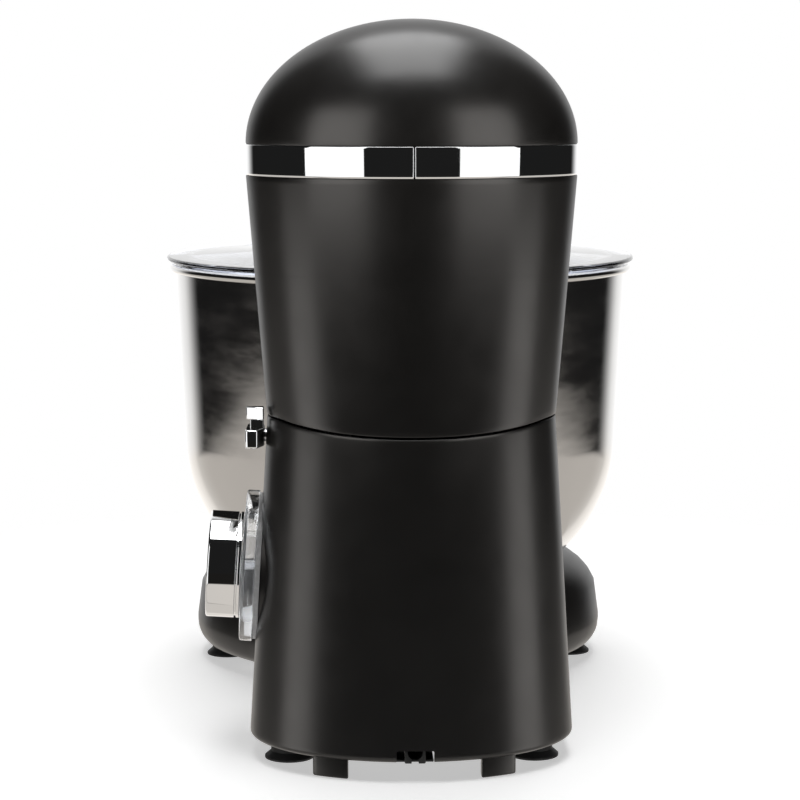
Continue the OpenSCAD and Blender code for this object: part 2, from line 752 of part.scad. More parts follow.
module motor_bearings() {
    color([0.8, 0.8, 0.82]) translate([0, motor_y, 0]) for (z = [frame_low + 2, frame_top - 0.5]) translate([0, 0, z])
        bearing(9.5, motor_r, 5);
}

module bearing(outer, shaft, h) {
    rotate_extrude() difference() {
        translate([shaft + running, 0]) square([outer - shaft - running, h]);
        translate([(outer + shaft) / 2 - 0.9, h - 0.8]) square([1.8, 1]);
    }
}

module motor_shaft() {
    color([0.8, 0.8, 0.82]) translate([0, motor_y, 189]) cylinder(r = motor_r, h = 98);
}

module armature() {
    slots = 12;
    color([0.5, 0.35, 0.25]) translate([0, motor_y, stator_low + 1]) difference() {
        union() {
            cylinder(r = 21.6, h = stator_h - 2);
            translate([0, 0, -3]) cylinder(r = 16, h = stator_h + 4);
        }
        translate([0, 0, -5]) cylinder(r = motor_r, h = stator_h + 10);
        for (k = [0:slots - 1]) rotate(360 * k / slots) translate([18, -1.2, -5]) cube([5, 2.4, stator_h + 10]);
    }
}

module commutator() {
    color([0.8, 0.5, 0.3]) translate([0, motor_y, 198]) difference() {
        cylinder(r = 13, h = 13.5);
        translate([0, 0, -1]) cylinder(r = motor_r, h = 20);
    }
}

module cooling_fan() {
    blades = 9;
    color([0.15, 0.15, 0.16]) translate([0, motor_y, 255]) difference() {
        union() {
            cylinder(r = 26, h = 1.5);
            cylinder(r = 8, h = 9);
            for (k = [0:blades - 1]) rotate(360 * k / blades) translate([7, -0.7, 0]) cube([18.5, 1.4, 8.5]);
        }
        translate([0, 0, -1]) cylinder(r = motor_r, h = 20);
    }
}

module pulley(r, bore, hub_r) {
    difference() {
        rotate_extrude() polygon([
            [0, 0], [r + 1.8, 0], [r + 1.8, 1], [r, 1.4], [r, belt_w + 0.6], [r + 1.8, belt_w + 1], [r + 1.8, belt_w + 2],
            [0, belt_w + 2]
        ]);
        translate([0, 0, -1]) cylinder(r = bore, h = 30);
        if (r > hub_r + 8) translate([0, 0, 3.5]) difference() {
            cylinder(r = r - 4, h = 20);
            translate([0, 0, -1]) cylinder(r = hub_r, h = 30);
        }
    }
}

module motor_pulley() {
    color([0.3, 0.3, 0.32]) translate([0, motor_y, belt_z - 1]) pulley(motor_pulley_r, motor_r, 8);
}

// outer edge of a belt round both pulleys, this far off their faces
module belt_2d(off) {
    r1 = motor_pulley_r + off;
    r2 = large_pulley_r + off;
    lean = asin((r2 - r1) / (motor_y - layshaft_y));
    translate([0, motor_y]) circle(r = r1);
    translate([0, layshaft_y]) circle(r = r2);
    polygon([
        [r1 * cos(lean), motor_y + r1 * sin(lean)], [-r1 * cos(lean), motor_y + r1 * sin(lean)],
        [-r2 * cos(lean), layshaft_y + r2 * sin(lean)], [r2 * cos(lean), layshaft_y + r2 * sin(lean)]
    ]);
}

module drive_belt() {
    color([0.08, 0.08, 0.08]) translate([0, 0, belt_z + 0.9]) linear_extrude(belt_w - 1.8) difference() {
        belt_2d(belt_t);
        belt_2d(0.05);
    }
}

// ---------- gearbox ----------

case_low = 233.9;
web_z = 250;
chamber_z = 256;
cover_z = 266;
module case_2d(grow) {
    translate([0, bowl_y]) circle(r = 46 + grow);
    translate([0, 4]) circle(r = 26 + grow);
    translate([-26 - grow, bowl_y]) square([52 + 2 * grow, 4 - bowl_y]);
}

module case_lug(z, h, r) {
    for (p = case_screw_spots) translate([p[0], p[1], z]) cylinder(r = r, h = h);
}

module gear_case() {
    color([0.62, 0.63, 0.65]) difference() {
        union() {
            translate([0, 0, case_low]) linear_extrude(cover_z - case_low) case_2d(0);
            case_lug(cover_z - 14, 14, 5);
            mirrored() translate([22, 10, 240]) cube([6, 78, 12]);
        }
        translate([0, bowl_y, case_low - 1]) cylinder(r = 42.02, h = web_z - case_low + 1);
        translate([0, bowl_y, web_z - 1]) cylinder(r = output_r + 1, h = 20);
        translate([0, bowl_y, web_z + 1]) cylinder(r = 14.02, h = 20);
        translate([0, layshaft_y, web_z + 1]) cylinder(r = 11.02, h = 20);
        translate([0, bowl_y, chamber_z]) cylinder(r = 38, h = 20);
        translate([0, layshaft_y, chamber_z]) cylinder(r = 16, h = 20);
        case_lug(cover_z - 12, 20, 1.7);
        // hollow under the layshaft
        translate([-20, -4, case_low - 1]) cube([40, 26, 14]);
        translate([0, motor_y, 230]) cylinder(r = 34.3, h = 30);
    }
}

module gear_case_cover() {
    color([0.62, 0.63, 0.65]) difference() {
        union() {
            translate([0, 0, cover_z + 0.05]) linear_extrude(5) case_2d(0);
            case_lug(cover_z + 0.05, 5, 5);
        }
        translate([0, bowl_y, cover_z - 1]) cylinder(r = 14.02, h = 5);
        translate([0, bowl_y, cover_z - 1]) cylinder(r = output_r + 1, h = 10);
        translate([0, layshaft_y, cover_z - 1]) cylinder(r = 11.02, h = 5);
        translate([0, layshaft_y, cover_z - 1]) cylinder(r = layshaft_r + 1, h = 10);
        case_lug(cover_z - 1, 10, 2.1);
    }
}

module gear_case_screws() {
    color([0.7, 0.7, 0.72]) for (p = case_screw_spots) translate([p[0], p[1], cover_z + 5.1 + 2.2]) mirror([0, 0, 1])
        screw(3.6, 2.2, 1.65, 14);
}

module ring_gear() {
    color([0.55, 0.55, 0.57]) translate([0, bowl_y, 238]) linear_extrude(11.9) difference() {
        circle(r = 42);
        rotate(90) spur_2d(ring_teeth, 1.1 * gear_m, 0.8 * gear_m, -0.1);
    }
}

module shaft_bearings() {
    color([0.8, 0.8, 0.82]) for (z = [web_z + 1, cover_z - 1.05]) {
        translate([0, bowl_y, z]) bearing(14, output_r, 5);
        translate([0, layshaft_y, z]) bearing(11, layshaft_r, 5);
    }
}

module layshaft() {
    color([0.8, 0.8, 0.82]) translate([0, layshaft_y, web_z + 1.3]) cylinder(r = layshaft_r, h = 36);
}

module pinion() {
    color([0.6, 0.6, 0.62]) translate([0, layshaft_y, 256.6]) linear_extrude(8) difference() {
        rotate(-90 + 180 / pinion_teeth) spur_2d(pinion_teeth, 0.8 * gear_m, 1.1 * gear_m, 0.1);
        circle(r = layshaft_r);
    }
}

module large_pulley() {
    color([0.3, 0.3, 0.32]) translate([0, layshaft_y, belt_z - 1]) pulley(large_pulley_r, layshaft_r, 11);
}

module output_shaft() {
    color([0.8, 0.8, 0.82]) translate([0, bowl_y, 217]) cylinder(r = output_r, h = 54.5);
}

module main_gear() {
    color([0.75, 0.72, 0.62]) translate([0, bowl_y, 257]) difference() {
        linear_extrude(7) rotate(90) spur_2d(main_teeth, 0.8 * gear_m, 1.1 * gear_m, 0.1);
        translate([0, 0, -1]) cylinder(r = output_r, h = 20);
        for (t = [0:60:300]) rotate(t) translate([19, 0, -1]) cylinder(r = 5, h = 20);
    }
}

hub_low = 214;
module planet_carrier() {
    color([0.75, 0.76, 0.78]) difference() {
        translate([0, bowl_y, 0]) rotate_extrude() polygon([
            [0, hub_low], [37, hub_low], [42, hub_low + 1.5], [44.5, hub_low + 5], [44.5, 232.6], [40, 232.6], [40, 236.6],
            [0, 236.6]
        ]);
        translate([0, bowl_y, hub_low + 3]) cylinder(r = output_r, h = 30);
        translate([0, planet_y, hub_low - 1]) cylinder(r = planet_r + running, h = 40);
        translate([0, bowl_y - 22, hub_low + 4]) cylinder(r = 12, h = 30);
    }
}

module planet_shaft() {
    color([0.8, 0.8, 0.82]) difference() {
        union() {
            translate([0, planet_y, 187]) cylinder(r = planet_r, h = 63);
            translate([0, planet_y, hub_low - 1.6]) cylinder(r = planet_r + 2, h = 1.4);
        }
        translate([-20, planet_y, 203]) rotate([0, 90, 0]) cylinder(r = 1.8, h = 40);
    }
}

module planet_gear() {
    color([0.6, 0.6, 0.62]) translate([0, planet_y, 238.4]) linear_extrude(10.5) difference() {
        rotate(90) spur_2d(planet_teeth, 0.8 * gear_m, 1.1 * gear_m, 0.1);
        circle(r = planet_r);
    }
}

module cross_pin() {
    color([0.8, 0.8, 0.82]) translate([-10, planet_y, 203]) rotate([0, 90, 0]) cylinder(r = 1.8, h = 20);
}

// ---------- splash guard, bowl and beater ----------

module splash_guard() {
    color([0.8, 0.88, 0.95, 0.4]) translate([0, bowl_y, 0]) difference() {
        rotate_extrude($fn = 128) polygon([
            [47.2, 222], [110.2, 219], [110.2, 214.6], [112, 214.6], [112, 218.7],
            [guard_r - 1, 218.7], [guard_r, 219.4], [guard_r, 220.6], [guard_r - 0.8, 221.2], [113, 221.2],
            [49.6, 224.4], [49.6, 229.6], [47.2, 229.6]
        ]);
        arc_block(64, 102, 200, 240, -66, 32);
    }
}

beater_half = 70;
module beater_outline(inset) {
    zs = [52, 58, 66, 78, 95];
    function edge(z) = min(beater_half, bowl_r_at(z) - bowl_t - planet_dist - 5) - inset;
    right = concat(
        [[edge(52) * 0.55, 50 + inset], [edge(52), 53 + inset * 0.8]],
        [for (z = [58, 66, 78, 95]) [edge(z), z + inset * 0.3]],
        [[beater_half - inset, 140 - inset * 0.5], [beater_half * 0.8 - inset * 0.8, 160 - inset]]
    );
    polygon(concat(
        right,
        [[0, 183 - inset * 1.3]],
        [for (k = [len(right) - 1:-1:0]) [-right[k][0], right[k][1]]]
    ));
}

module flat_beater() {
    thick = 8;
    color([0.75, 0.76, 0.78]) difference() {
        union() {
            translate([0, planet_y + thick / 2, 0]) rotate([90, 0, 0]) linear_extrude(thick) difference() {
                beater_outline(0);
                difference() {
                    beater_outline(9);
                    translate([-5, 40]) square([10, 140]);
                    for (s = [-1, 1]) for (z = [74, 106]) translate([0, z]) rotate(s * 26) translate([s > 0 ? 0 : -90, -3.5])
                        square([90, 7]);
                }
            }
            translate([0, planet_y, 170]) cylinder(r = 11, h = 42.3);
        }
        translate([0, planet_y, 186]) cylinder(r = planet_r + 0.05, h = 40);
        translate([-12, planet_y - 2, 201]) cube([24, 4, 20]);
    }
}

bowl_heights = [50, 53, 57, 62, 68, 76, 86, 98, 112, 126.6, 212.6];
module bowl() {
    top = 214.6;
    color([0.8, 0.8, 0.82]) translate([0, bowl_y, 0]) rotate_extrude($fn = 128) {
        polygon(concat(
            [[0, bowl_floor_z], [62, bowl_floor_z]],
            [for (z = bowl_heights) [bowl_r_at(z), z]],
            [[bowl_rim_r + 0.4, top], [bowl_rim_r - bowl_t, top + 1]],
            [for (k = [len(bowl_heights) - 1:-1:0]) let (z = bowl_heights[k])
                [bowl_r_at(z) - bowl_t * (z < 70 ? 1.3 : 1.05), z + (z < 60 ? 0.6 : 0)]],
            [[61, bowl_floor_z + bowl_t], [0, bowl_floor_z + bowl_t]]
        ));
        translate([bowl_rim_r + 1.6, rim_z - 2]) circle(r = 2, $fn = 24);
    }
}

module bowl_foot() {
    color([0.75, 0.75, 0.77]) translate([0, bowl_y, 0]) {
        rotate_extrude() translate([48, seat_floor_z + 0.4]) square([2, bowl_floor_z - seat_floor_z - 0.4]);
        for (t = [0, 120, 240]) arc_block(50 - eps, lug_out, seat_floor_z + 0.5, 43.5, t + 3, 30);
    }
}

base_housing();
bottom_plate();
bottom_screws();
suction_feet();
bowl_seat();
seat_screws();
cord_gland();
dial_light_ring();
dial_backplate();
rotary_switch();
control_board();
heat_sink();
hinge_bracket();
bracket_screws();
hinge_pin();
pin_clips();
lever_spring();
dial_knob();
switch_shaft();
release_lever();
lever_shaft();
latch_hook();
head_lower_housing();
chrome_band();
head_top_cover();
cover_screws();
hinge_block();
hinge_block_screws();
motor_frame();
stator_core();
field_coils();
brush_holders();
carbon_brushes();
motor_bearings();
gear_case();
gear_case_cover();
gear_case_screws();
ring_gear();
drive_belt();
shaft_bearings();
splash_guard();
motor_shaft();
armature();
commutator();
cooling_fan();
motor_pulley();
layshaft();
large_pulley();
pinion();
output_shaft();
main_gear();
planet_carrier();
planet_shaft();
planet_gear();
cross_pin();
flat_beater();
bowl();
bowl_foot();
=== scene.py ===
"""Tilt-head stand mixer: the visual model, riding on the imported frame.

Lengths in the shape code are millimetres; MM turns them into metres when a mesh is made.
The camera, the lights and the stage are in metres.
+Z is up, the bowl is towards -Y, the column towards +Y, the dial and the lever on the +X side.
"""

import json
import math

import bmesh
import bpy
from mathutils import Matrix, Vector


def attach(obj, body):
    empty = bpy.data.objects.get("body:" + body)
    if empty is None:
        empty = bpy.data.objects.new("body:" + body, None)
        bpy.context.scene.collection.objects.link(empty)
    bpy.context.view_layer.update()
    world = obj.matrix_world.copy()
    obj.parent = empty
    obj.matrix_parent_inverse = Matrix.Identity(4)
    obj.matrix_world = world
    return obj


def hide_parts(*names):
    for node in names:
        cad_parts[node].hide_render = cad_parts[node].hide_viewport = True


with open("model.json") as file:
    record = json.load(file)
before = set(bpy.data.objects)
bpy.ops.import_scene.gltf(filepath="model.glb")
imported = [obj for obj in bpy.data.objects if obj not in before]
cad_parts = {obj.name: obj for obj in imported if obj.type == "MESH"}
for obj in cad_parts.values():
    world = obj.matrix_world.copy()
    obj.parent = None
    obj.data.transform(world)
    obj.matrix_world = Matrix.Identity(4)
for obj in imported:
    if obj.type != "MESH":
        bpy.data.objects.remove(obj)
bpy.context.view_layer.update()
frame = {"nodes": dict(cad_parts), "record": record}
nodes = frame["nodes"]

MM = 0.001
MICRON = 0.000001
SMOOTH_ANGLE = 35.0  # degrees; sharper edges stay sharp
scene = bpy.context.scene
scene.view_settings.view_transform = "Standard"

# ---------------------------------------------------------------- camera

camera = bpy.data.objects.new("camera", bpy.data.cameras.new("camera"))
scene.collection.objects.link(camera)
camera.data.lens = 110.5
camera.data.sensor_width = 36
camera.data.clip_end = 50
camera.location = (0.0396, 1.24215, 0.315)
look = Vector((-39.6, -1295.4, -171.8))  # only its direction matters
camera.rotation_euler = look.to_track_quat("-Z", "Y").to_euler()
scene.camera = camera

# ---------------------------------------------------------------- materials


class Graph:
    """A material's node tree with short calls for the nodes used here."""

    def __init__(self, name):
        self.material = bpy.data.materials.new(name)
        self.material.use_nodes = True
        self.tree = self.material.node_tree
        self.shader = self.tree.nodes["Principled BSDF"]
        self.place = self.tree.nodes.new("ShaderNodeTexCoord").outputs["Object"]

    def node(self, kind, inputs=None, **settings):
        made = self.tree.nodes.new("ShaderNode" + kind)
        for key, value in settings.items():
            setattr(made, key, value)
        for key, value in (inputs or {}).items():
            self.feed(made.inputs[key], value)
        return made

    def feed(self, socket, value):
        if isinstance(value, bpy.types.NodeSocket):
            self.tree.links.new(value, socket)
        else:
            socket.default_value = value

    def noise(self, scale, detail=3.0, rough=0.55, stretch=(1, 1, 1)):
        """Noise in the object's own space; scale is in cells per metre."""
        spread = self.node("Mapping", {"Vector": self.place, "Scale": stretch})
        made = self.node(
            "TexNoise",
            {
                "Vector": spread.outputs["Vector"],
                "Scale": scale,
                "Detail": detail,
                "Roughness": rough,
            },
        )
        return made.outputs["Fac"]

    def ramp(self, value, low, high, to_low=0.0, to_high=1.0):
        made = self.node(
            "MapRange",
            {
                "Value": value,
                "From Min": low,
                "From Max": high,
                "To Min": to_low,
                "To Max": to_high,
            },
            interpolation_type="SMOOTHSTEP",
        )
        return made.outputs["Result"]

    def mix(self, share, first, second):
        made = self.node("Mix", data_type="RGBA")
        self.feed(made.inputs[0], share)
        self.feed(made.inputs[6], first)
        self.feed(made.inputs[7], second)
        return made.outputs[2]

    def bump(self, height, depth, below=None):
        made = self.node("Bump", {"Height": height, "Distance": depth, "Strength": 1.0})
        if below is not None:
            self.feed(made.inputs["Normal"], below)
        return made.outputs["Normal"]


def rgb(r, g, b):
    return (r, g, b, 1.0)


def surface(
    name,
    color,
    tint,
    rough,
    grain,
    metal=0.0,
    mottle=22.0,
    rough_scale=60.0,
    stretch=(1, 1, 1),
    worn=None,
    **sockets,
):
    """A principled surface whose colour, roughness and fine relief vary.

    color and tint are mixed by a slow noise of scale mottle; rough is (least, most) and varies
    by a noise of rough_scale; grain lists (scale, depth) of relief noises; worn is the colour
    that rubbed edges take; sockets are further values of the shader.
    """
    graph = Graph(name)
    base = graph.mix(
        graph.ramp(graph.noise(mottle), 0.35, 0.65), rgb(*color), rgb(*tint)
    )
    wear = graph.noise(rough_scale, 4.0, 0.6, stretch)
    roughness = graph.ramp(wear, 0.3, 0.7, *rough)
    if worn:
        edges = graph.node("NewGeometry").outputs["Pointiness"]
        rubbed = graph.node(
            "Math",
            {
                0: graph.ramp(edges, 0.53, 0.62),
                1: graph.ramp(graph.noise(350.0), 0.4, 0.7),
            },
            operation="MULTIPLY",
        )
        base = graph.mix(rubbed.outputs[0], base, rgb(*worn))
    graph.feed(graph.shader.inputs["Base Color"], base)
    graph.feed(graph.shader.inputs["Roughness"], roughness)
    normal = None
    for scale, depth in grain:
        normal = graph.bump(graph.noise(scale, 2.0, 0.5, stretch), depth, normal)
    if normal is not None:
        graph.feed(graph.shader.inputs["Normal"], normal)
    graph.shader.inputs["Metallic"].default_value = metal
    for key, value in sockets.items():
        graph.shader.inputs[key.replace("_", " ")].default_value = value
    return graph.material


ACRYLIC_IOR = 1.49


def glass_like(name, color, rough, scuff):
    """Clear moulded plastic with faint flow lines and rubbing marks."""
    graph = Graph(name)
    scratches = graph.noise(900.0, 2.0, 0.7, (1, 0.08, 1))
    graph.feed(
        graph.shader.inputs["Roughness"], graph.ramp(scratches, 0.62, 0.8, *rough)
    )
    graph.feed(
        graph.shader.inputs["Base Color"],
        graph.mix(
            graph.ramp(graph.noise(14.0), 0.3, 0.7), rgb(*color), rgb(0.97, 0.98, 1.0)
        ),
    )
    graph.feed(
        graph.shader.inputs["Normal"],
        graph.bump(graph.noise(45.0, 1.0), scuff, graph.bump(scratches, scuff * 0.1)),
    )
    graph.shader.inputs["Transmission Weight"].default_value = 1.0
    graph.shader.inputs["IOR"].default_value = ACRYLIC_IOR
    return graph.material


finish = {
    "black_shell": surface(
        "black_shell",
        (0.0168, 0.0156, 0.0148),
        (0.0190, 0.0176, 0.0166),
        (0.28, 0.32),
        [(2600.0, 4 * MICRON), (500.0, 4 * MICRON)],
        worn=(0.012, 0.012, 0.012),
    ),
    "black_plastic": surface(
        "black_plastic",
        (0.010, 0.010, 0.010),
        (0.014, 0.014, 0.013),
        (0.42, 0.56),
        [(3200.0, 12 * MICRON)],
        worn=(0.03, 0.03, 0.03),
    ),
    "chrome_trim": surface(
        "chrome_trim",
        (0.86, 0.87, 0.88),
        (0.89, 0.89, 0.89),
        (0.02, 0.045),
        [(90.0, 1.5 * MICRON)],
        metal=1.0,
    ),
    "polished_steel": surface(
        "polished_steel",
        (0.66, 0.65, 0.64),
        (0.71, 0.70, 0.685),
        (0.06, 0.13),
        [(26.0, 25 * MICRON), (900.0, 0.6 * MICRON)],
        metal=1.0,
        mottle=9.0,
        rough_scale=22.0,
        stretch=(1, 1, 3.0),
    ),
    "clear_plastic": glass_like(
        "clear_plastic", (0.80, 0.84, 0.96), (0.02, 0.10), 12 * MICRON
    ),
    "clear_ring": glass_like(
        "clear_ring", (0.93, 0.95, 0.97), (0.05, 0.16), 20 * MICRON
    ),
    "grey_plastic": surface(
        "grey_plastic",
        (0.36, 0.36, 0.37),
        (0.42, 0.42, 0.42),
        (0.4, 0.55),
        [(2200.0, 10 * MICRON)],
        worn=(0.55, 0.55, 0.55),
    ),
    "foot_rubber": surface(
        "foot_rubber",
        (0.010, 0.010, 0.010),
        (0.018, 0.018, 0.018),
        (0.55, 0.75),
        [(1800.0, 20 * MICRON), (240.0, 25 * MICRON)],
        worn=(0.05, 0.05, 0.05),
    ),
    "zinc_steel": surface(
        "zinc_steel",
        (0.60, 0.61, 0.62),
        (0.50, 0.52, 0.55),
        (0.22, 0.42),
        [(700.0, 8 * MICRON)],
        metal=1.0,
        worn=(0.75, 0.75, 0.75),
    ),
    "ground_steel": surface(
        "ground_steel",
        (0.62, 0.62, 0.63),
        (0.55, 0.55, 0.57),
        (0.15, 0.30),
        [(1500.0, 3 * MICRON)],
        metal=1.0,
        stretch=(1, 1, 6.0),
    ),
    "cast_alloy": surface(
        "cast_alloy",
        (0.56, 0.57, 0.58),
        (0.48, 0.49, 0.50),
        (0.38, 0.58),
        [(1100.0, 40 * MICRON), (160.0, 60 * MICRON)],
        metal=1.0,
        worn=(0.7, 0.7, 0.7),
    ),
    "beater_alloy": surface(
        "beater_alloy",
        (0.64, 0.65, 0.66),
        (0.57, 0.58, 0.60),
        (0.26, 0.42),
        [(850.0, 18 * MICRON), (120.0, 40 * MICRON)],
        metal=1.0,
        worn=(0.78, 0.78, 0.78),
    ),
    "core_iron": surface(
        "core_iron",
        (0.26, 0.26, 0.27),
        (0.33, 0.32, 0.31),
        (0.35, 0.55),
        [(2000.0, 30 * MICRON)],
        metal=1.0,
        stretch=(0.05, 0.05, 1.0),
    ),
    "winding": surface(
        "winding",
        (0.42, 0.13, 0.05),
        (0.55, 0.20, 0.08),
        (0.28, 0.45),
        [(1400.0, 120 * MICRON)],
        metal=0.6,
        stretch=(1, 1, 0.1),
    ),
    "copper": surface(
        "copper",
        (0.75, 0.36, 0.20),
        (0.62, 0.27, 0.14),
        (0.20, 0.38),
        [(900.0, 6 * MICRON)],
        metal=1.0,
    ),
    "brass_parts": surface(
        "brass_parts",
        (0.68, 0.50, 0.22),
        (0.56, 0.40, 0.17),
        (0.25, 0.42),
        [(900.0, 8 * MICRON)],
        metal=1.0,
    ),
    "carbon": surface(
        "carbon",
        (0.030, 0.030, 0.032),
        (0.050, 0.050, 0.052),
        (0.45, 0.65),
        [(2500.0, 20 * MICRON)],
    ),
    "board": surface(
        "board",
        (0.012, 0.075, 0.030),
        (0.020, 0.100, 0.042),
        (0.25, 0.4),
        [(1200.0, 12 * MICRON)],
        mottle=260.0,
    ),
    "gear_nylon": surface(
        "gear_nylon",
        (0.72, 0.70, 0.63),
        (0.64, 0.62, 0.54),
        (0.35, 0.5),
        [(1300.0, 12 * MICRON)],
        Subsurface_Weight=0.1,
    ),
    "belt_rubber": surface(
        "belt_rubber",
        (0.016, 0.016, 0.016),
        (0.026, 0.026, 0.026),
        (0.5, 0.7),
        [(1500.0, 40 * MICRON)],
        stretch=(1, 1, 0.3),
    ),
}

for entry in frame["record"]["subparts"]:
    for slot in nodes[entry["node"]].material_slots:
        slot.material = finish[entry["material_slot"]]

# ---------------------------------------------------------------- mesh helpers

WELD = 4 * MICRON


def new_object(name, mesh, material, angle=SMOOTH_ANGLE):
    for face in mesh.polygons:
        face.use_smooth = True
    mesh.set_sharp_from_angle(angle=math.radians(angle))
    made = bpy.data.objects.new(name, mesh)
    scene.collection.objects.link(made)
    mesh.materials.append(material)
    return made


def grid_mesh(name, rings, material, closed=True, cap=False, angle=SMOOTH_ANGLE):
    """A skin over rings of equal length.

    closed joins the last ring to the first; cap fills the first and the last ring.
    """
    count = len(rings[0])
    mesh = bpy.data.meshes.new(name)
    points = [Vector(p) * MM for ring in rings for p in ring]
    faces = []
    pairs = len(rings) if closed else len(rings) - 1
    for r in range(pairs):
        low, high = r * count, (r + 1) % len(rings) * count
        for i in range(count):
            j = (i + 1) % count
            faces.append((low + i, low + j, high + j, high + i))
    if cap:
        faces.append(tuple(range(count - 1, -1, -1)))
        top = (len(rings) - 1) * count
        faces.append(tuple(range(top, top + count)))
    mesh.from_pydata(points, [], faces)
    tidy(mesh)
    return new_object(name, mesh, material, angle)


def tidy(mesh):
    """Welds points that coincide, drops edges without a face and turns the faces outward."""
    work = bmesh.new()
    work.from_mesh(mesh)
    bmesh.ops.remove_doubles(work, verts=work.verts, dist=WELD)
    wires = [e for e in work.edges if not e.link_faces]
    bmesh.ops.delete(work, geom=wires, context="EDGES")
    bmesh.ops.recalc_face_normals(work, faces=work.faces)
    work.to_mesh(mesh)
    work.free()


NEARLY_STRAIGHT = 0.02  # radians


def rounded(points, radius, steps=4):
    """A closed 2D polygon with rounded corners; radius is a number or one for each corner."""
    result = []
    count = len(points)
    for i, point in enumerate(points):
        r = radius[i] if isinstance(radius, (list, tuple)) else radius
        p = Vector(point)
        before = Vector(points[i - 1]) - p
        after = Vector(points[(i + 1) % count]) - p
        turn = before.angle(after)
        if r <= 0 or turn > math.pi - NEARLY_STRAIGHT:
            result.append((p.x, p.y))
            continue
        room = 0.49 * min(before.length, after.length)
        reach = min(r / math.tan(turn / 2), room)
        start = p + before.normalized() * reach
        end = p + after.normalized() * reach
        for k in range(steps + 1):
            t = k / steps
            q = start * (1 - t) ** 2 + p * 2 * t * (1 - t) + end * t**2
            result.append((q.x, q.y))
    return result


def lathe(name, profile, material, place, segments, span=None):
    """Turns a closed profile of (radius, height) round the place's third axis.

    span is the first and the last angle in degrees when the turn isn't a full one.
    """
    rings = []
    count = segments if span is None else segments + 1
    for k in range(count):
        if span is None:
            turn = math.tau * k / segments
        else:
            turn = math.radians(span[0] + (span[1] - span[0]) * k / segments)
        c, s = math.cos(turn), math.sin(turn)
        rings.append([place @ Vector((r * c, r * s, z)) for r, z in profile])
    return grid_mesh(name, rings, material, closed=span is None, cap=span is not None)


def rod(name, radius, low, high, place, material, segments=128):
    """A plain cylinder along the place's third axis, its flat ends without a middle point."""
    turns = [math.tau * k / segments for k in range(segments)]
    circle = [(radius * math.cos(t), radius * math.sin(t)) for t in turns]
    rings = [[place @ Vector((x, y, z)) for x, y in circle] for z in (low, high)]
    return grid_mesh(name, rings, material, closed=False, cap=True)


PRISM_SHARP = 0.35  # radians between the faces of an edge that is bevelled


def bevel_edges(work, edges, width):
    """Rounds the edges of an open mesh; width is in millimetres."""
    bmesh.ops.bevel(
        work,
        geom=edges,
        offset=width * MM,
        segments=3,
        profile=0.5,
        affect="EDGES",
        clamp_overlap=True,
    )


def prism(name, outline, low, high, material, bevel):
    """Extrudes a 2D outline upward and bevels its sharp edges."""
    mesh = bpy.data.meshes.new(name)
    points = [Vector((x, y, z)) * MM for z in (low, high) for x, y in outline]
    n = len(outline)
    faces = [tuple(range(n)), tuple(range(2 * n - 1, n - 1, -1))]
    faces += [(i, (i + 1) % n, n + (i + 1) % n, n + i) for i in range(n)]
    mesh.from_pydata(points, [], faces)
    work = bmesh.new()
    work.from_mesh(mesh)
    bmesh.ops.recalc_face_normals(work, faces=work.faces)
    if bevel:
        sharp = [e for e in work.edges if e.calc_face_angle(0) > PRISM_SHARP]
        bevel_edges(work, sharp, bevel)
    work.to_mesh(mesh)
    work.free()
    return new_object(name, mesh, material)


def box_piece(name, low, high, material, bevel):
    (x0, y0, z0), (x1, y1, z1) = low, high
    corners = [(x0, y0), (x1, y0), (x1, y1), (x0, y1)]
    return prism(name, corners, z0, z1, material, bevel)


MOVED = 100  # marks a face whose material index has been changed


def join(name, first, *others):
    """Puts the other objects' geometry into the first one, keeping their materials."""
    work = bmesh.new()
    for piece in (first, *others):
        start = len(work.faces)
        work.from_mesh(piece.data)
        work.faces.ensure_lookup_table()
        for slot_index, material in enumerate(piece.data.materials):
            if material.name not in first.data.materials:
                first.data.materials.append(material)
            target = first.data.materials.find(material.name)
            if target != slot_index:
                for face in work.faces[start:]:
                    if face.material_index == slot_index:
                        face.material_index = target + MOVED
        for face in work.faces[start:]:
            if face.material_index >= MOVED:
                face.material_index -= MOVED
    work.to_mesh(first.data)
    work.free()
    for piece in others:
        bpy.data.objects.remove(piece)
    first.name = name
    first.data.set_sharp_from_angle(angle=math.radians(SMOOTH_ANGLE))
    return first


def cut(target, *cutters):
    """Cuts the cutters out of target and applies the result to its mesh."""
    for cutter in cutters:
        step = target.modifiers.new("cut", "BOOLEAN")
        step.operation = "DIFFERENCE"
        step.solver = "EXACT"
        step.object = cutter
    graph = bpy.context.evaluated_depsgraph_get()
    result = bpy.data.meshes.new_from_object(target.evaluated_get(graph))
    target.modifiers.clear()
    old = target.data
    target.data = result
    bpy.data.meshes.remove(old)
    for cutter in cutters:
        bpy.data.objects.remove(cutter)
    for face in target.data.polygons:
        face.use_smooth = True
    target.data.set_sharp_from_angle(angle=math.radians(SMOOTH_ANGLE))
    return target


def place_on(piece, body, replaced):
    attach(piece, body)
    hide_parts(replaced)
    return piece


# ---------------------------------------------------------------- shells, shaped as in the CAD

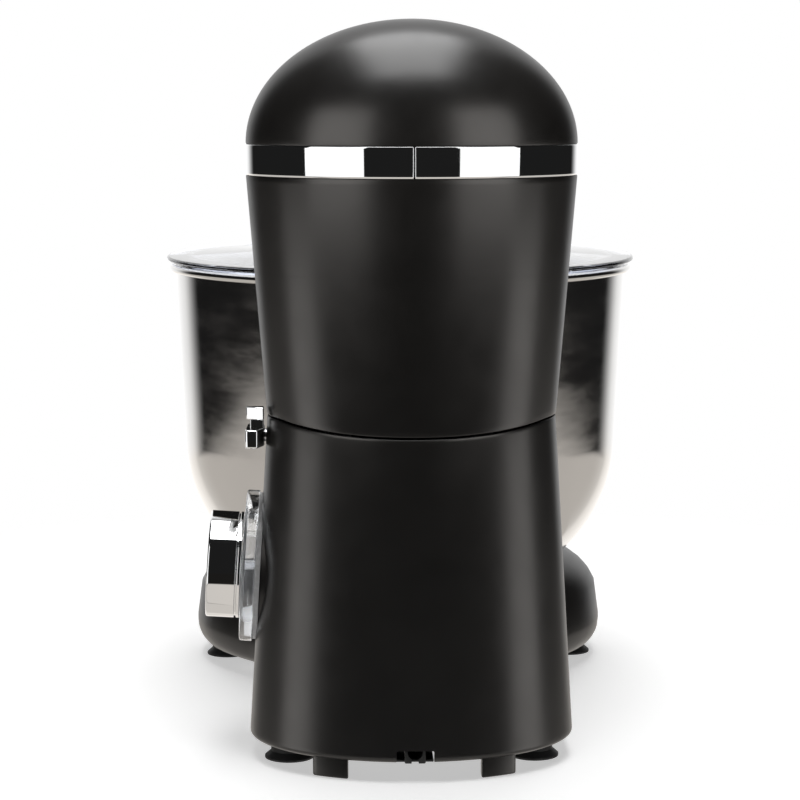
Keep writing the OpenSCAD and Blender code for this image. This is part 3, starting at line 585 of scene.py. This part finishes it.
WALL = 3.0
WIDEST_Y = 122.0
DEPTH_RATIO = 0.711
NECK_REACH, NECK_POWER = 47.0, 3.5
HEAD_REACH, HEAD_POWER = 272.0, 2.8
HEAD_HALF_W = 75.4
WAIST_HALF_W = 66.3
SEAM_Z = 160.4
SEAM_SLOPE = 0.2
SEAM_BEND_Y = 143.0
SEAM_HALF_GAP = 0.45
BAND_Z, BAND_H = 270.0, 14.0
BAND_TOP = BAND_Z + BAND_H
LINER_Z, LINER_INSET = 277.0, 2.8  # where the two head shells meet behind the band
DOME_H = 340.0 - BAND_TOP
SKIRT_Z = 9.5
HINGE_Y = 146.0
LOBE_HALF_W, LOBE_Y, LOBE_FRONT, LOBE_BACK = 110.0, -85.0, 85.0, 98.0
LOBE_MID_Z, LOBE_H = 22.0, 46.0
DECK_Z = LOBE_MID_Z + LOBE_H
BOWL_Y = -53.25
BELLY_R, BELLY_Z, BELLY_DEPTH, BOWL_RIM_R = 113.8, 126.6, 95.7, 117.9
WALL_TOP_Z = 212.6
FRONT_STEPS, BACK_STEPS = 44, 34


def sup(u, n):
    """A superellipse's height at the share u of its reach, for the power n."""
    return max(0.0, 1 - max(0.0, u) ** n) ** (1 / n)


def body_w(y, a, b, f, n):
    """Half width of the body: a at its widest, b its reach to the back, f to the front."""
    if y > WIDEST_Y:
        return a * sup((y - WIDEST_Y) / b, 2)
    return a * sup((WIDEST_Y - y) / f, n)


def lobe_w(y, s, inset):
    """Half width of the bowl platform, scaled by s."""
    if s <= 0:
        return 0.0
    if y < LOBE_Y:
        u = (LOBE_Y - y) / (LOBE_FRONT * s - inset)
    else:
        u = (y - LOBE_Y) / (LOBE_BACK * s - inset)
    return (LOBE_HALF_W * s - inset) * sup(u, 2)


def seam_drop(y):
    """How far the seam of head and base runs below its level part."""
    d = SEAM_SLOPE * (y - SEAM_BEND_Y)
    return (d + math.sqrt(d * d + 1)) / 2


def outline(z, a, b, f, n, s=0.0, inset=0.0, at_seam=False):
    """A ring round the body and, where s isn't 0, the bowl platform, both melted together."""
    front = min(WIDEST_Y - f, LOBE_Y - LOBE_FRONT * s + inset if s > 0 else WIDEST_Y)
    ys = [
        front + (WIDEST_Y - front) * (1 - math.cos(math.pi / 2 * i / FRONT_STEPS))
        for i in range(FRONT_STEPS + 1)
    ]
    ys += [
        WIDEST_Y + b * math.sin(math.pi / 2 * i / BACK_STEPS)
        for i in range(1, BACK_STEPS + 1)
    ]
    least = 9 - 1.3 * inset if s > 0 else 0.0  # keeps the ring open between the two
    half = []
    for i, y in enumerate(ys):
        w = 0.0
        if 0 < i < len(ys) - 1:
            w1, w2 = lobe_w(y, s, inset), body_w(y, a, b, f, n)
            w = max(least if y < WIDEST_Y else 0, (w1**8 + w2**8) ** 0.125)
        half.append((w, y, z - (seam_drop(y) if at_seam else 0.0)))
    return [Vector(p) for p in half] + [
        Vector((-w, y, h)) for w, y, h in reversed(half[1:-1])
    ]


def blend_rings(first, second, share):
    return [p.lerp(q, share) for p, q in zip(first, second)]


def raised(ring, rise):
    return [Vector((p.x, p.y, p.z + rise)) for p in ring]


# ---------------------------------------------------------------- base shell

BASE_Z = 10
EDGE_Z = 12.5  # below it the outer skin rounds in towards the skirt
SEAT_GAP = 6.4


def base_a(z):
    """Half width of the column."""
    taper = (WAIST_HALF_W - HEAD_HALF_W) * (z - BASE_Z) / (SEAM_Z - BASE_Z)
    return HEAD_HALF_W + taper - 2.6 * max(0.0, (EDGE_Z - z) / 3.0) ** 2.5


def base_outline(z, inset, at_seam=False):
    """A ring of the base shell: column and bowl platform, drawn in by inset."""
    h = LOBE_H - inset
    u = (z - LOBE_MID_Z) / h
    grow = 1.0 if z < LOBE_MID_Z else sup(u, 3)
    s = 1 - 0.044 * ((LOBE_MID_Z - z) / 13) ** 3 if z < LOBE_MID_Z else sup(u, 3)
    a = base_a(z)
    n = NECK_POWER if z > DECK_Z - inset else 2.2 + 1.3 * grow
    reach = NECK_REACH + 143 * grow
    return outline(
        z, a - inset, a * DEPTH_RATIO - inset, reach - inset, n, s, inset, at_seam
    )


def deck_heights(h):
    """Heights up the rounded deck, evenly spaced along its curve."""
    shares = [math.cos(math.radians(d)) for d in range(12, 70, 6)]
    return [LOBE_MID_Z + h * (1 - s**3) ** (1 / 3) for s in shares]


def base_shell():
    """Column and platform in one skin, hollowed, with the openings cut and the legs added."""
    black = finish["black_shell"]
    rim_z = SEAM_Z - SEAM_HALF_GAP
    low = [SKIRT_Z, 9.7, 10.0, 10.4, 10.9, 11.6, 12.5, 14, 16.5, 19.5, 22]
    rings = [base_outline(z, 0) for z in low + deck_heights(LOBE_H)]
    rings += [base_outline(z, 0) for z in (DECK_Z + 0.5, 79, 90, 101, 113, 125)]
    low_ring, top_ring = rings[-1], base_outline(rim_z, 0, True)
    for share in (0.2, 0.4, 0.6, 0.75, 0.87, 0.95):
        rings.append(blend_rings(low_ring, top_ring, share))
    for inset, drop in ((0.0, 0.7), (0.12, 0.3), (0.35, 0.08), (0.7, 0.0)):
        rings.append(raised(base_outline(rim_z, inset, True), -drop))
    rim = base_outline(rim_z, WALL, True)
    lean = [0.3 * max(0.0, p.y - HINGE_Y + WALL) for p in rim]
    rings.append([Vector((p.x, p.y, p.z - d)) for p, d in zip(rim, lean)])
    rings += [base_outline(z, WALL) for z in (125, 90, DECK_Z + 2)]
    shell = grid_mesh("base_shell", rings, black, closed=False, cap=True)
    core = [base_outline(z, WALL) for z in (SKIRT_Z, 14, 22, 36, 45)]
    core.insert(0, [Vector((p.x, p.y, 5)) for p in core[0]])
    hollow = grid_mesh("core_cut", core, black, closed=False, cap=True)
    seat = [(0, 38.8), (66.4, 38.8)]
    levels = (48, 51, 54, 57, 60, 63, 66, 70, 76)
    seat += [(bowl_r_at(z) + SEAT_GAP, z) for z in levels]
    seat += [(bowl_r_at(76) + SEAT_GAP, 82), (0, 82)]
    seat_cut = lathe("seat_cut", seat, black, at_bowl, 192)
    recess = box_piece("recess_cut", (-8.5, 150, -1), (8.5, 190, 15), black, 0.9)
    dial_hole = rod("dial_cut", 34.7, -6, 6, at_dial, black)
    cut(shell, hollow, seat_cut, recess, dial_hole)
    boss = lathe(
        "dial_boss",
        rounded([(30, -21), (33.6, -21), (33.6, -1.1), (30, -1.1)], 0.4),
        black,
        at_dial,
        128,
    )
    return join("base_shell", shell, boss, rear_leg(1), rear_leg(-1))


def rear_leg(side):
    """A short leg that follows the column's back edge from x 30 to 46."""
    a = base_a(SKIRT_Z)
    b = a * DEPTH_RATIO
    xs = [30 + 2 * k for k in range(9)]
    back = [(side * x, WIDEST_Y + b * sup(x / a, 2) - 0.5) for x in xs]
    front = [(side * x, WIDEST_Y + b * sup(x / a, 2) - 8) for x in reversed(xs)]
    return prism("leg", back + front, 0.4, 14, finish["black_shell"], 0.9)


# ---------------------------------------------------------------- head shells

WAIST_Z = 158


def head_a(z):
    """Half width of the head below the band."""
    share = (z - WAIST_Z) / (BAND_Z - WAIST_Z)
    return WAIST_HALF_W + (HEAD_HALF_W - WAIST_HALF_W) * share


def head_outline(z, f, n, inset, at_seam=False):
    a = head_a(z)
    return outline(
        z, a - inset, a * DEPTH_RATIO - inset, f - inset, n, 0.0, 0.0, at_seam
    )


# height, reach to the front and power of the head's outer and inner skin
HEAD_SKIN = [
    (185, 47, 3.5),
    (222, 47, 3.5),
    (226.5, 49, 3.4),
    (228.6, 58, 3.0),
    (229.6, 95, 2.5),
    (230.2, 160, 2.2),
    (230.8, 222, 2.1),
    (232.4, 240, 2.1),
    (236, 252, 2.2),
    (243, 262, 2.4),
    (255, 269, 2.6),
    (270, 272, 2.8),
]
HEAD_INSIDE = [
    (255, 269, 2.6),
    (244, 261, 2.4),
    (238, 249, 2.2),
    (235.2, 232, 2.1),
    (234, 205, 2.1),
    (233.3, 150, 2.2),
    (232.8, 90, 2.5),
    (231.6, 58, 3),
    (228, 47, 3.4),
    (185, 47, 3.5),
]


def smooth_path(points, parts=4):
    """Catmull-Rom through the points."""
    result = []
    for i in range(len(points) - 1):
        p0 = Vector(points[max(0, i - 1)])
        p1, p2 = Vector(points[i]), Vector(points[i + 1])
        p3 = Vector(points[min(len(points) - 1, i + 2)])
        for k in range(parts):
            t = k / parts
            result.append(
                0.5
                * (
                    2 * p1
                    + (p2 - p0) * t
                    + (2 * p0 - 5 * p1 + 4 * p2 - p3) * t**2
                    + (3 * p1 - p0 - 3 * p2 + p3) * t**3
                )
            )
    result.append(Vector(points[-1]))
    return result


def head_shell():
    """The head's lower half with its rolled seam, its inner wall and the hub's opening."""
    seam = SEAM_Z + SEAM_HALF_GAP
    outer = []
    for inset, rise in ((0.7, 0.0), (0.35, 0.08), (0.12, 0.3), (0.0, 0.7)):
        ring = head_outline(seam, NECK_REACH, NECK_POWER, inset, True)
        outer.append(raised(ring, rise))
    low_ring = head_outline(seam, NECK_REACH, NECK_POWER, 0, True)
    high_ring = head_outline(*HEAD_SKIN[0], 0)
    for share in (0.12, 0.3, 0.5, 0.7, 0.85):
        outer.append(blend_rings(low_ring, high_ring, share))
    for z, f, n in smooth_path(HEAD_SKIN):
        if z < BAND_Z - 0.4:
            outer.append(head_outline(z, f, n, 0))
    top = LINER_Z - 0.1
    edge = [(269.4, 0.0), (269.8, 0.15), (270, 0.5), (270, LINER_INSET)]
    for z, inset in edge + [(top, LINER_INSET)]:
        outer.append(head_outline(z, HEAD_REACH, HEAD_POWER, inset))
    inner = [head_outline(top, HEAD_REACH, HEAD_POWER, 5.0)]
    inner += [head_outline(z, f, n, WALL) for z, f, n in HEAD_INSIDE]
    inner.append(head_outline(seam, NECK_REACH, NECK_POWER, WALL, True))
    shell = grid_mesh("head_shell", outer + inner, finish["black_shell"])
    hub = rod("hub_cut", 46.5, 220, 236, at_bowl, finish["black_shell"], 160)
    return cut(shell, hub)


LEAST_REACH = 0.01  # keeps the rings near the dome's top open


def dome_outline(h, inset):
    """A ring of the dome, h above the band."""
    u = min(1.0, h / (DOME_H - inset))
    wide = math.sqrt(max(0.0, 1 - u * u))
    return outline(
        BAND_TOP + h,
        (HEAD_HALF_W - inset) * wide + LEAST_REACH,
        (HEAD_HALF_W * DEPTH_RATIO - inset) * wide + LEAST_REACH,
        (HEAD_REACH - inset) * sup(u, 3) + LEAST_REACH,
        HEAD_POWER,
    )


def dome_cover():
    """The head's top: inner wall from the top down, rim, then the outer skin up again."""
    inner_h = DOME_H - WALL
    rings = [
        dome_outline(inner_h * math.sin(math.radians(t)), WALL)
        for t in (89, 86, 78, 70, 60, 48, 36, 24, 12, 0)
    ]
    rim_z = BAND_TOP - 0.1
    rim = [(LINER_Z, 5.0), (LINER_Z, LINER_INSET), (rim_z, LINER_INSET), (rim_z, 0.5)]
    for z, inset in rim:
        wide, deep = HEAD_HALF_W - inset, HEAD_HALF_W * DEPTH_RATIO - inset
        rings.append(outline(z, wide, deep, HEAD_REACH - inset, HEAD_POWER))
    rings.append(dome_outline(0.15, 0.12))
    angles = [0.8 + 2.2 * k for k in range(41)] + [89.4, 89.8]
    rings += [dome_outline(DOME_H * math.sin(math.radians(t)), 0) for t in angles]
    return grid_mesh(
        "dome_cover", rings, finish["black_shell"], closed=False, cap=True
    )


JOINT_X, JOINT_HALF_GAP = 0.7, 0.22
BAND_SECTION = [  # inset and height
    (0.05, 0.1),
    (-0.3, 0.9),
    (0.55, 13.2),
    (0.75, 13.9),
    (2.6, 13.9),
    (2.6, 0.1),
]


def trim_band():
    """A bright strip round the head, its two ends meeting at a fine joint at the back."""
    section = rounded(BAND_SECTION, [0.2, 0.25, 0.3, 0.2, 0, 0], 3)
    levels = [
        head_outline(BAND_Z + h, HEAD_REACH, HEAD_POWER, inset) for inset, h in section
    ]
    stations = len(levels[0])
    back = FRONT_STEPS + BACK_STEPS
    half_h, half_depth = 7.0, 1.3

    def end_loop(shift, shrink):
        """The section beside the joint, its outer face and its height drawn in by shrink."""
        loop = []
        for level, (inset, h) in zip(levels, section):
            near = level[back]
            y = near.y - max(0.0, half_depth - inset) * shrink / half_depth
            z = near.z + (half_h - h) / half_h * shrink * 0.6
            loop.append(Vector((JOINT_X + shift, y, z)))
        return loop

    def beside_joint(loop):
        return loop[0].y > 160 and abs(loop[0].x - JOINT_X) < 0.8

    gap = JOINT_HALF_GAP
    ends = [(gap, 0.45), (gap + 0.12, 0.12), (gap + 0.4, 0.0)]
    places = [(back + k) % stations for k in range(1, stations + 1)]
    round_head = [[level[i] for level in levels] for i in places]
    loops = [end_loop(-shift, shrink) for shift, shrink in ends]
    loops += [loop for loop in round_head if not beside_joint(loop)]
    loops += [end_loop(shift, shrink) for shift, shrink in reversed(ends)]
    return grid_mesh(
        "trim_band", loops, finish["chrome_trim"], closed=False, cap=True, angle=50.0
    )


# ---------------------------------------------------------------- bowl, guard and beater

at_bowl = Matrix.Translation((0, BOWL_Y, 0))


def bowl_r_at(z):
    """The bowl's outer radius."""
    if z > BELLY_Z:
        share = (z - BELLY_Z) / (WALL_TOP_Z - BELLY_Z)
        return BELLY_R + (BOWL_RIM_R - BELLY_R) * share
    return BELLY_R * math.sqrt(max(0.0, 1 - ((BELLY_Z - z) / BELLY_DEPTH) ** 2))


def bowl_wall():
    """Outer wall upward, the rolled rim from its underside over and in, then the inside."""
    thick = 1.0
    turns = [math.radians(d) for d in range(55, -1, -3)]
    low = [BELLY_Z - BELLY_DEPTH * math.sin(t) for t in turns]
    zs = [49.6] + [z for z in low if z > 50.5]
    zs += [140, 155, 170, 185, 200, 209, WALL_TOP_Z]
    outer = [(0, 48), (58, 48), (60.5, 48.15), (62.6, 48.6)]
    outer += [(bowl_r_at(z), z) for z in zs]
    roll_r, roll_x, roll_z = 2.0, BOWL_RIM_R + 1.6, 215.4
    rolls = [math.radians(d) for d in range(-140, 169, 22)]
    rim = [(roll_x + roll_r * math.cos(t), roll_z + roll_r * math.sin(t)) for t in rolls]
    rim = [p for p in rim if p[0] > BOWL_RIM_R - 0.9]
    inner = [(BOWL_RIM_R - thick, 214.6), (BOWL_RIM_R - thick - 0.1, 211)]
    inner += [(bowl_r_at(z) - thick * 1.05, z + 0.2) for z in reversed(zs[:-1])]
    inner += [(61.5, 49.4), (58, 49.1), (0, 49.05)]
    steel = finish["polished_steel"]
    return lathe("bowl_wall", outer + rim + inner, steel, at_bowl, 224)


def splash_guard():
    """The clear lid under the head, with its hub collar and the pouring port."""
    section = [
        (47.2, 222.0),
        (110.2, 219.0),
        (110.2, 214.6),
        (112.0, 214.6),
        (112.0, 218.7),
        (121.5, 218.7),
        (122.5, 219.4),
        (122.5, 220.6),
        (121.7, 221.2),
        (113.0, 221.2),
        (49.6, 224.4),
        (49.6, 229.6),
        (47.2, 229.6),
    ]
    radii = [0.4, 0.8, 0.5, 0.5, 0.6, 0.3, 0.3, 0.4, 0.4, 1.5, 1.2, 0.5, 0.5]
    guard = lathe(
        "splash_guard_clear",
        rounded(section, radii, 4),
        finish["clear_plastic"],
        at_bowl,
        224,
    )
    port = lathe(
        "port_cut",
        rounded([(64, 205), (102, 205), (102, 235), (64, 235)], 0.1, 1),
        finish["clear_plastic"],
        at_bowl,
        24,
        span=(-66, -34),
    )
    return cut(guard, port)


CAST_SHARP = math.radians(28.0)


def softened_copy(name, source, material, width):
    """A copy of a CAD node whose sharp edges are rounded, as a casting's are."""
    mesh = nodes[source].data.copy()
    work = bmesh.new()
    work.from_mesh(mesh)
    bmesh.ops.remove_doubles(work, verts=work.verts, dist=5 * MICRON)
    bmesh.ops.dissolve_limit(
        work, angle_limit=math.radians(1.0), verts=work.verts, edges=work.edges
    )
    sharp = [e for e in work.edges if e.calc_face_angle(0) > CAST_SHARP]
    bevel_edges(work, sharp, width)
    work.to_mesh(mesh)
    work.free()
    mesh.materials.clear()
    return new_object(name, mesh, material)


# ---------------------------------------------------------------- dial and lever

DIAL_LEAN = math.radians(86.5)  # parallel to the side wall
at_dial = Matrix.Translation((71.2, 103, 85.5)) @ Matrix.Rotation(DIAL_LEAN, 4, "Y")


def knob():
    """The dial's cap with a groove near its foot and one dark mark on its face."""
    r = 25.0
    profile = [
        (0, 8.3),
        (21.5, 8.3),
        (21.5, 8.0),
        (r, 8.0),
        (r, 9.6),
        (r - 0.9, 9.8),
        (r - 0.9, 10.3),
        (r, 10.5),
        (r, 23.8),
        (r - 4.2, 23.8),
        (r - 5, 23.0),
        (0, 23.3),
    ]
    radii = [0, 0, 0.2, 0.4, 0.3, 0.1, 0.1, 0.3, 1.1, 0.4, 0.5, 0]
    body = lathe(
        "dial_cap", rounded(profile, radii, 5), finish["chrome_trim"], at_dial, 160
    )
    corners = [(-0.8, 8.5), (0.8, 8.5), (0.8, 19), (-0.8, 19)]
    mark = prism(
        "mark", rounded(corners, 0.7), 23.1, 23.5, finish["black_plastic"], 0.1
    )
    mark.data.transform(Matrix.Scale(MM, 4) @ at_dial @ Matrix.Scale(1 / MM, 4))
    return join("dial_cap", body, mark)


def light_ring():
    """The clear ring round the dial's foot."""
    section = [(27, 1.2), (35.5, 1.2), (35.5, 7.5), (30.2, 7.5), (28.4, 6.2), (27, 6.2)]
    return lathe(
        "light_ring",
        rounded(section, [0.2, 0.7, 1.3, 0.4, 0.3, 0.3], 4),
        finish["clear_ring"],
        at_dial,
        192,
    )


def finger_lever():
    """The release lever: upper thumb plate, web, lower hooked grip and hub."""
    steel = finish["chrome_trim"]
    hook = prism(
        "hook",
        [(67.8, 113), (75.7, 113), (76.3, 136), (70.6, 136.4), (67.8, 129)],
        146.2,
        154.6,
        steel,
        0.8,
    )
    web = box_piece("web", (67.9, 126, 153), (74.2, 129, 159.5), steel, 0.4)
    plate = prism(
        "plate",
        [(67.8, 125.5), (75.9, 125.5), (75.9, 128.9), (67.8, 131.6)],
        158.6,
        164.4,
        steel,
        0.55,
    )
    hub = lathe(
        "hub",
        rounded([(0, 0), (4.8, 0), (4.8, 5), (0, 5)], 0.3),
        steel,
        Matrix.Translation((67.8, 118, 150)) @ Matrix.Rotation(math.pi / 2, 4, "Y"),
        48,
    )
    return join("finger_lever", plate, hook, web, hub)


def cord_block():
    """The block in the cord's outlet, with its bore and the slot below it."""
    black = finish["black_plastic"]
    block = box_piece("cord_block", (-4.75, 150.5, 8), (4.75, 171, 19), black, 0.6)
    wing = box_piece("wing", (-8, 152, 10), (8, 155, 22), black, 0.3)
    across = Matrix.Translation((0, 145, 13.2)) @ Matrix.Rotation(-math.pi / 2, 4, "X")
    bore = rod("bore", 3.4, 0, 30, across, black, 48)
    slot = box_piece("slot", (-1.6, 160, 7), (1.6, 172, 12), black, 0)
    ledge = box_piece("ledge", (-8.4, 150, 8.2), (8.4, 168.5, 9.4), black, 0.3)
    return join("cord_block", cut(block, bore, slot), wing, ledge)


# ---------------------------------------------------------------- pieces on the frame

satin = [
    place_on(base_shell(), "base", "base_housing"),
    place_on(head_shell(), "head", "head_lower_housing"),
    place_on(dome_cover(), "head", "head_top_cover"),
]
place_on(trim_band(), "head", "chrome_band")
place_on(bowl_wall(), "bowl", "bowl")
place_on(splash_guard(), "head", "splash_guard")
place_on(knob(), "dial", "dial_knob")
place_on(light_ring(), "base", "dial_light_ring")
place_on(finger_lever(), "lever", "release_lever")
place_on(cord_block(), "base", "cord_gland")
place_on(
    softened_copy("flat_beater_cast", "flat_beater", finish["beater_alloy"], 1.6),
    "beater",
    "flat_beater",
)

# ---------------------------------------------------------------- studio

WHITE = rgb(1, 1, 1)


def stage_object(name, mesh, graph, shader, hidden_from):
    """Links a piece of the stage; shader goes to its material's surface."""
    graph.feed(graph.tree.nodes["Material Output"].inputs["Surface"], shader.outputs[0])
    mesh.materials.append(graph.material)
    made = bpy.data.objects.new(name, mesh)
    scene.collection.objects.link(made)
    for kind in hidden_from:
        setattr(made, "visible_" + kind, False)
    return made


def floor_sheet(width, color):
    """A pale, faintly glowing floor that fades into the backdrop away from the object."""
    mesh = bpy.data.meshes.new("floor")
    d = width / 2
    corners = [(-d, -d, 0.0), (d, -d, 0.0), (d, d, 0.0), (-d, d, 0.0)]
    mesh.from_pydata(corners, [], [(0, 1, 2, 3)])
    graph = Graph("floor")
    graph.shader.inputs["Base Color"].default_value = color
    graph.shader.inputs["Roughness"].default_value = 0.9
    graph.shader.inputs["Specular IOR Level"].default_value = 0.0
    graph.shader.inputs["Emission Color"].default_value = WHITE
    graph.shader.inputs["Emission Strength"].default_value = 0.5
    away = graph.node("VectorMath", {0: graph.place}, operation="LENGTH")
    fade = graph.ramp(away.outputs["Value"], 0.22, 0.55)
    clear = graph.node("BsdfTransparent")
    blend = graph.node(
        "MixShader", {0: fade, 1: graph.shader.outputs[0], 2: clear.outputs[0]}
    )
    return stage_object("floor", mesh, graph, blend, ("glossy",))


floor = floor_sheet(3.0, rgb(0.8, 0.8, 0.8))


def area_light(name, place, target, size, power):
    lamp = bpy.data.lights.new(name, "AREA")
    lamp.shape = "RECTANGLE"
    lamp.size, lamp.size_y = size
    lamp.energy = power
    made = bpy.data.objects.new(name, lamp)
    made.location = place
    aim = Vector(target) - Vector(place)
    made.rotation_euler = aim.to_track_quat("-Z", "Y").to_euler()
    made.visible_camera = False
    scene.collection.objects.link(made)


def curved_card(name, angles, heights, radius, bright, receivers, fade=0.4):
    """Upright soft boxes at both sides of +Y, bent round the object; only receivers see them.

    angles are in degrees from +Y, heights and radius in metres. fade is the width in degrees
    over which the side nearer to +Y grows bright.
    """
    mesh = bpy.data.meshes.new(name)
    work = bmesh.new()
    parts = 12
    for side in (1, -1):
        before = None
        for k in range(parts + 1):
            turn = math.radians(angles[0] + (angles[1] - angles[0]) * k / parts) * side
            x, y = radius * math.sin(turn), radius * math.cos(turn)
            pair = [work.verts.new((x, y, z)) for z in heights]
            if before:
                work.faces.new((before[0], pair[0], pair[1], before[1]))
            before = pair
    work.to_mesh(mesh)
    work.free()
    graph = Graph(name)
    spot = graph.node("SeparateXYZ", {0: graph.place})
    turn = graph.node(
        "Math", {0: spot.outputs["X"], 1: spot.outputs["Y"]}, operation="ARCTAN2"
    )
    side = graph.node("Math", {0: turn.outputs[0]}, operation="ABSOLUTE")
    start = math.radians(angles[0])
    level = graph.ramp(side.outputs[0], start, start + math.radians(fade), 0.0, bright)
    color = rgb(1, 0.965, 0.93) if receivers is satin else WHITE
    glow = graph.node("Emission", {"Color": color, "Strength": level})
    through = graph.node("BsdfTransparent")
    both = graph.node("AddShader", {0: glow.outputs[0], 1: through.outputs[0]})
    unseen_by = ("camera", "diffuse", "volume_scatter", "shadow")
    made = stage_object(name, mesh, graph, both, unseen_by)
    group = bpy.data.collections.new(name + "_receivers")
    for item in receivers:
        group.objects.link(item)
    made.light_linking.receiver_collection = group


solid = [o for o in scene.objects if o.type == "MESH" and o != floor]
shiny = [o for o in solid if o not in satin]
curved_card("boxes_far", (23.5, 60), (-3.5, 6.0), 6.0, 1.25, shiny)
curved_card("back_far", (125, 180), (-3.5, 8.0), 6.2, 0.35, shiny, 40)
curved_card("boxes_near", (16, 44), (0.2, 0.48), 0.45, 3.0, satin)
curved_card("strips_low", (48, 71), (-0.3, 0.17), 0.6, 2.2, satin)

# What every piece mirrors besides the soft boxes: a white panel on the bowl's side, a pale
# floor below, darkness elsewhere.
world = bpy.data.worlds.new("studio")
scene.world = world
world.use_nodes = True
tree = world.node_tree
for old in list(tree.nodes):
    tree.nodes.remove(old)


def world_node(kind, inputs=None, **settings):
    made = tree.nodes.new("ShaderNode" + kind)
    for key, value in settings.items():
        setattr(made, key, value)
    for key, value in (inputs or {}).items():
        if isinstance(value, bpy.types.NodeSocket):
            tree.links.new(value, made.inputs[key])
        else:
            made.inputs[key].default_value = value
    return made


def world_math(operation, first, second=0.0):
    return world_node("Math", {0: first, 1: second}, operation=operation).outputs[0]


def window(value, low, high, soft):
    """1 between low and high, 0 outside, with soft edges; degrees."""
    parts = []
    for edge, start, end in ((low, 0.0, 1.0), (high, 1.0, 0.0)):
        made = world_node(
            "MapRange",
            {
                "Value": value,
                "From Min": edge - soft,
                "From Max": edge + soft,
                "To Min": start,
                "To Max": end,
            },
            interpolation_type="SMOOTHSTEP",
        )
        parts.append(made.outputs["Result"])
    return world_math("MULTIPLY", *parts)


DEGREES = 180 / math.pi  # in a radian
direction = world_node("SeparateXYZ", {0: world_node("TexCoord").outputs["Generated"]})
turn = world_math("ARCTAN2", direction.outputs["X"], direction.outputs["Y"])
side = world_math("ABSOLUTE", world_math("MULTIPLY", turn, DEGREES))
elevation = world_math("MULTIPLY", world_math("ARCSINE", direction.outputs["Z"]), DEGREES)

PANELS = [
    # side angle from +Y: low, high, softness; elevation: low, high, softness; brightness
    (138.0, 200.0, 11.0, -60.0, 60.0, 12.0, 0.8),
    (66.0, 200.0, 14.0, -95.0, -11.5, 0.8, 0.62),
    (-90.0, 66.0, 8.0, -95.0, -34.0, 1.5, 0.66),
]
total = 0.012  # the glow of the dark parts of the room
for a0, a1, a_soft, e0, e1, e_soft, bright in PANELS:
    patch = world_math(
        "MULTIPLY", window(side, a0, a1, a_soft), window(elevation, e0, e1, e_soft)
    )
    patch = world_math("MULTIPLY", patch, bright)
    total = world_math("MAXIMUM", total, patch)
below = window(elevation, -95.0, -10.5, 2.0)
tone = world_node("Mix", {0: below, 6: WHITE, 7: rgb(1, 0.945, 0.88)}, data_type="RGBA")
sky = world_node("Background", {"Color": tone.outputs[2], "Strength": total})
world_node("OutputWorld", {"Surface": sky.outputs[0]})


def backdrop():
    """A white dome for the camera and for what it sees through the clear parts."""
    mesh = bpy.data.meshes.new("backdrop")
    work = bmesh.new()
    bmesh.ops.create_uvsphere(work, u_segments=48, v_segments=24, radius=14.0)
    work.to_mesh(mesh)
    work.free()
    graph = Graph("backdrop")
    glow = graph.node("Emission", {"Color": WHITE, "Strength": 1.0})
    unseen_by = ("glossy", "diffuse", "volume_scatter", "shadow")
    stage_object("backdrop", mesh, graph, glow, unseen_by)


backdrop()

area_light("overhead", (0.0, 0.1, 1.5), (0, 0.1, 0), (0.8, 1.35), 20.0)
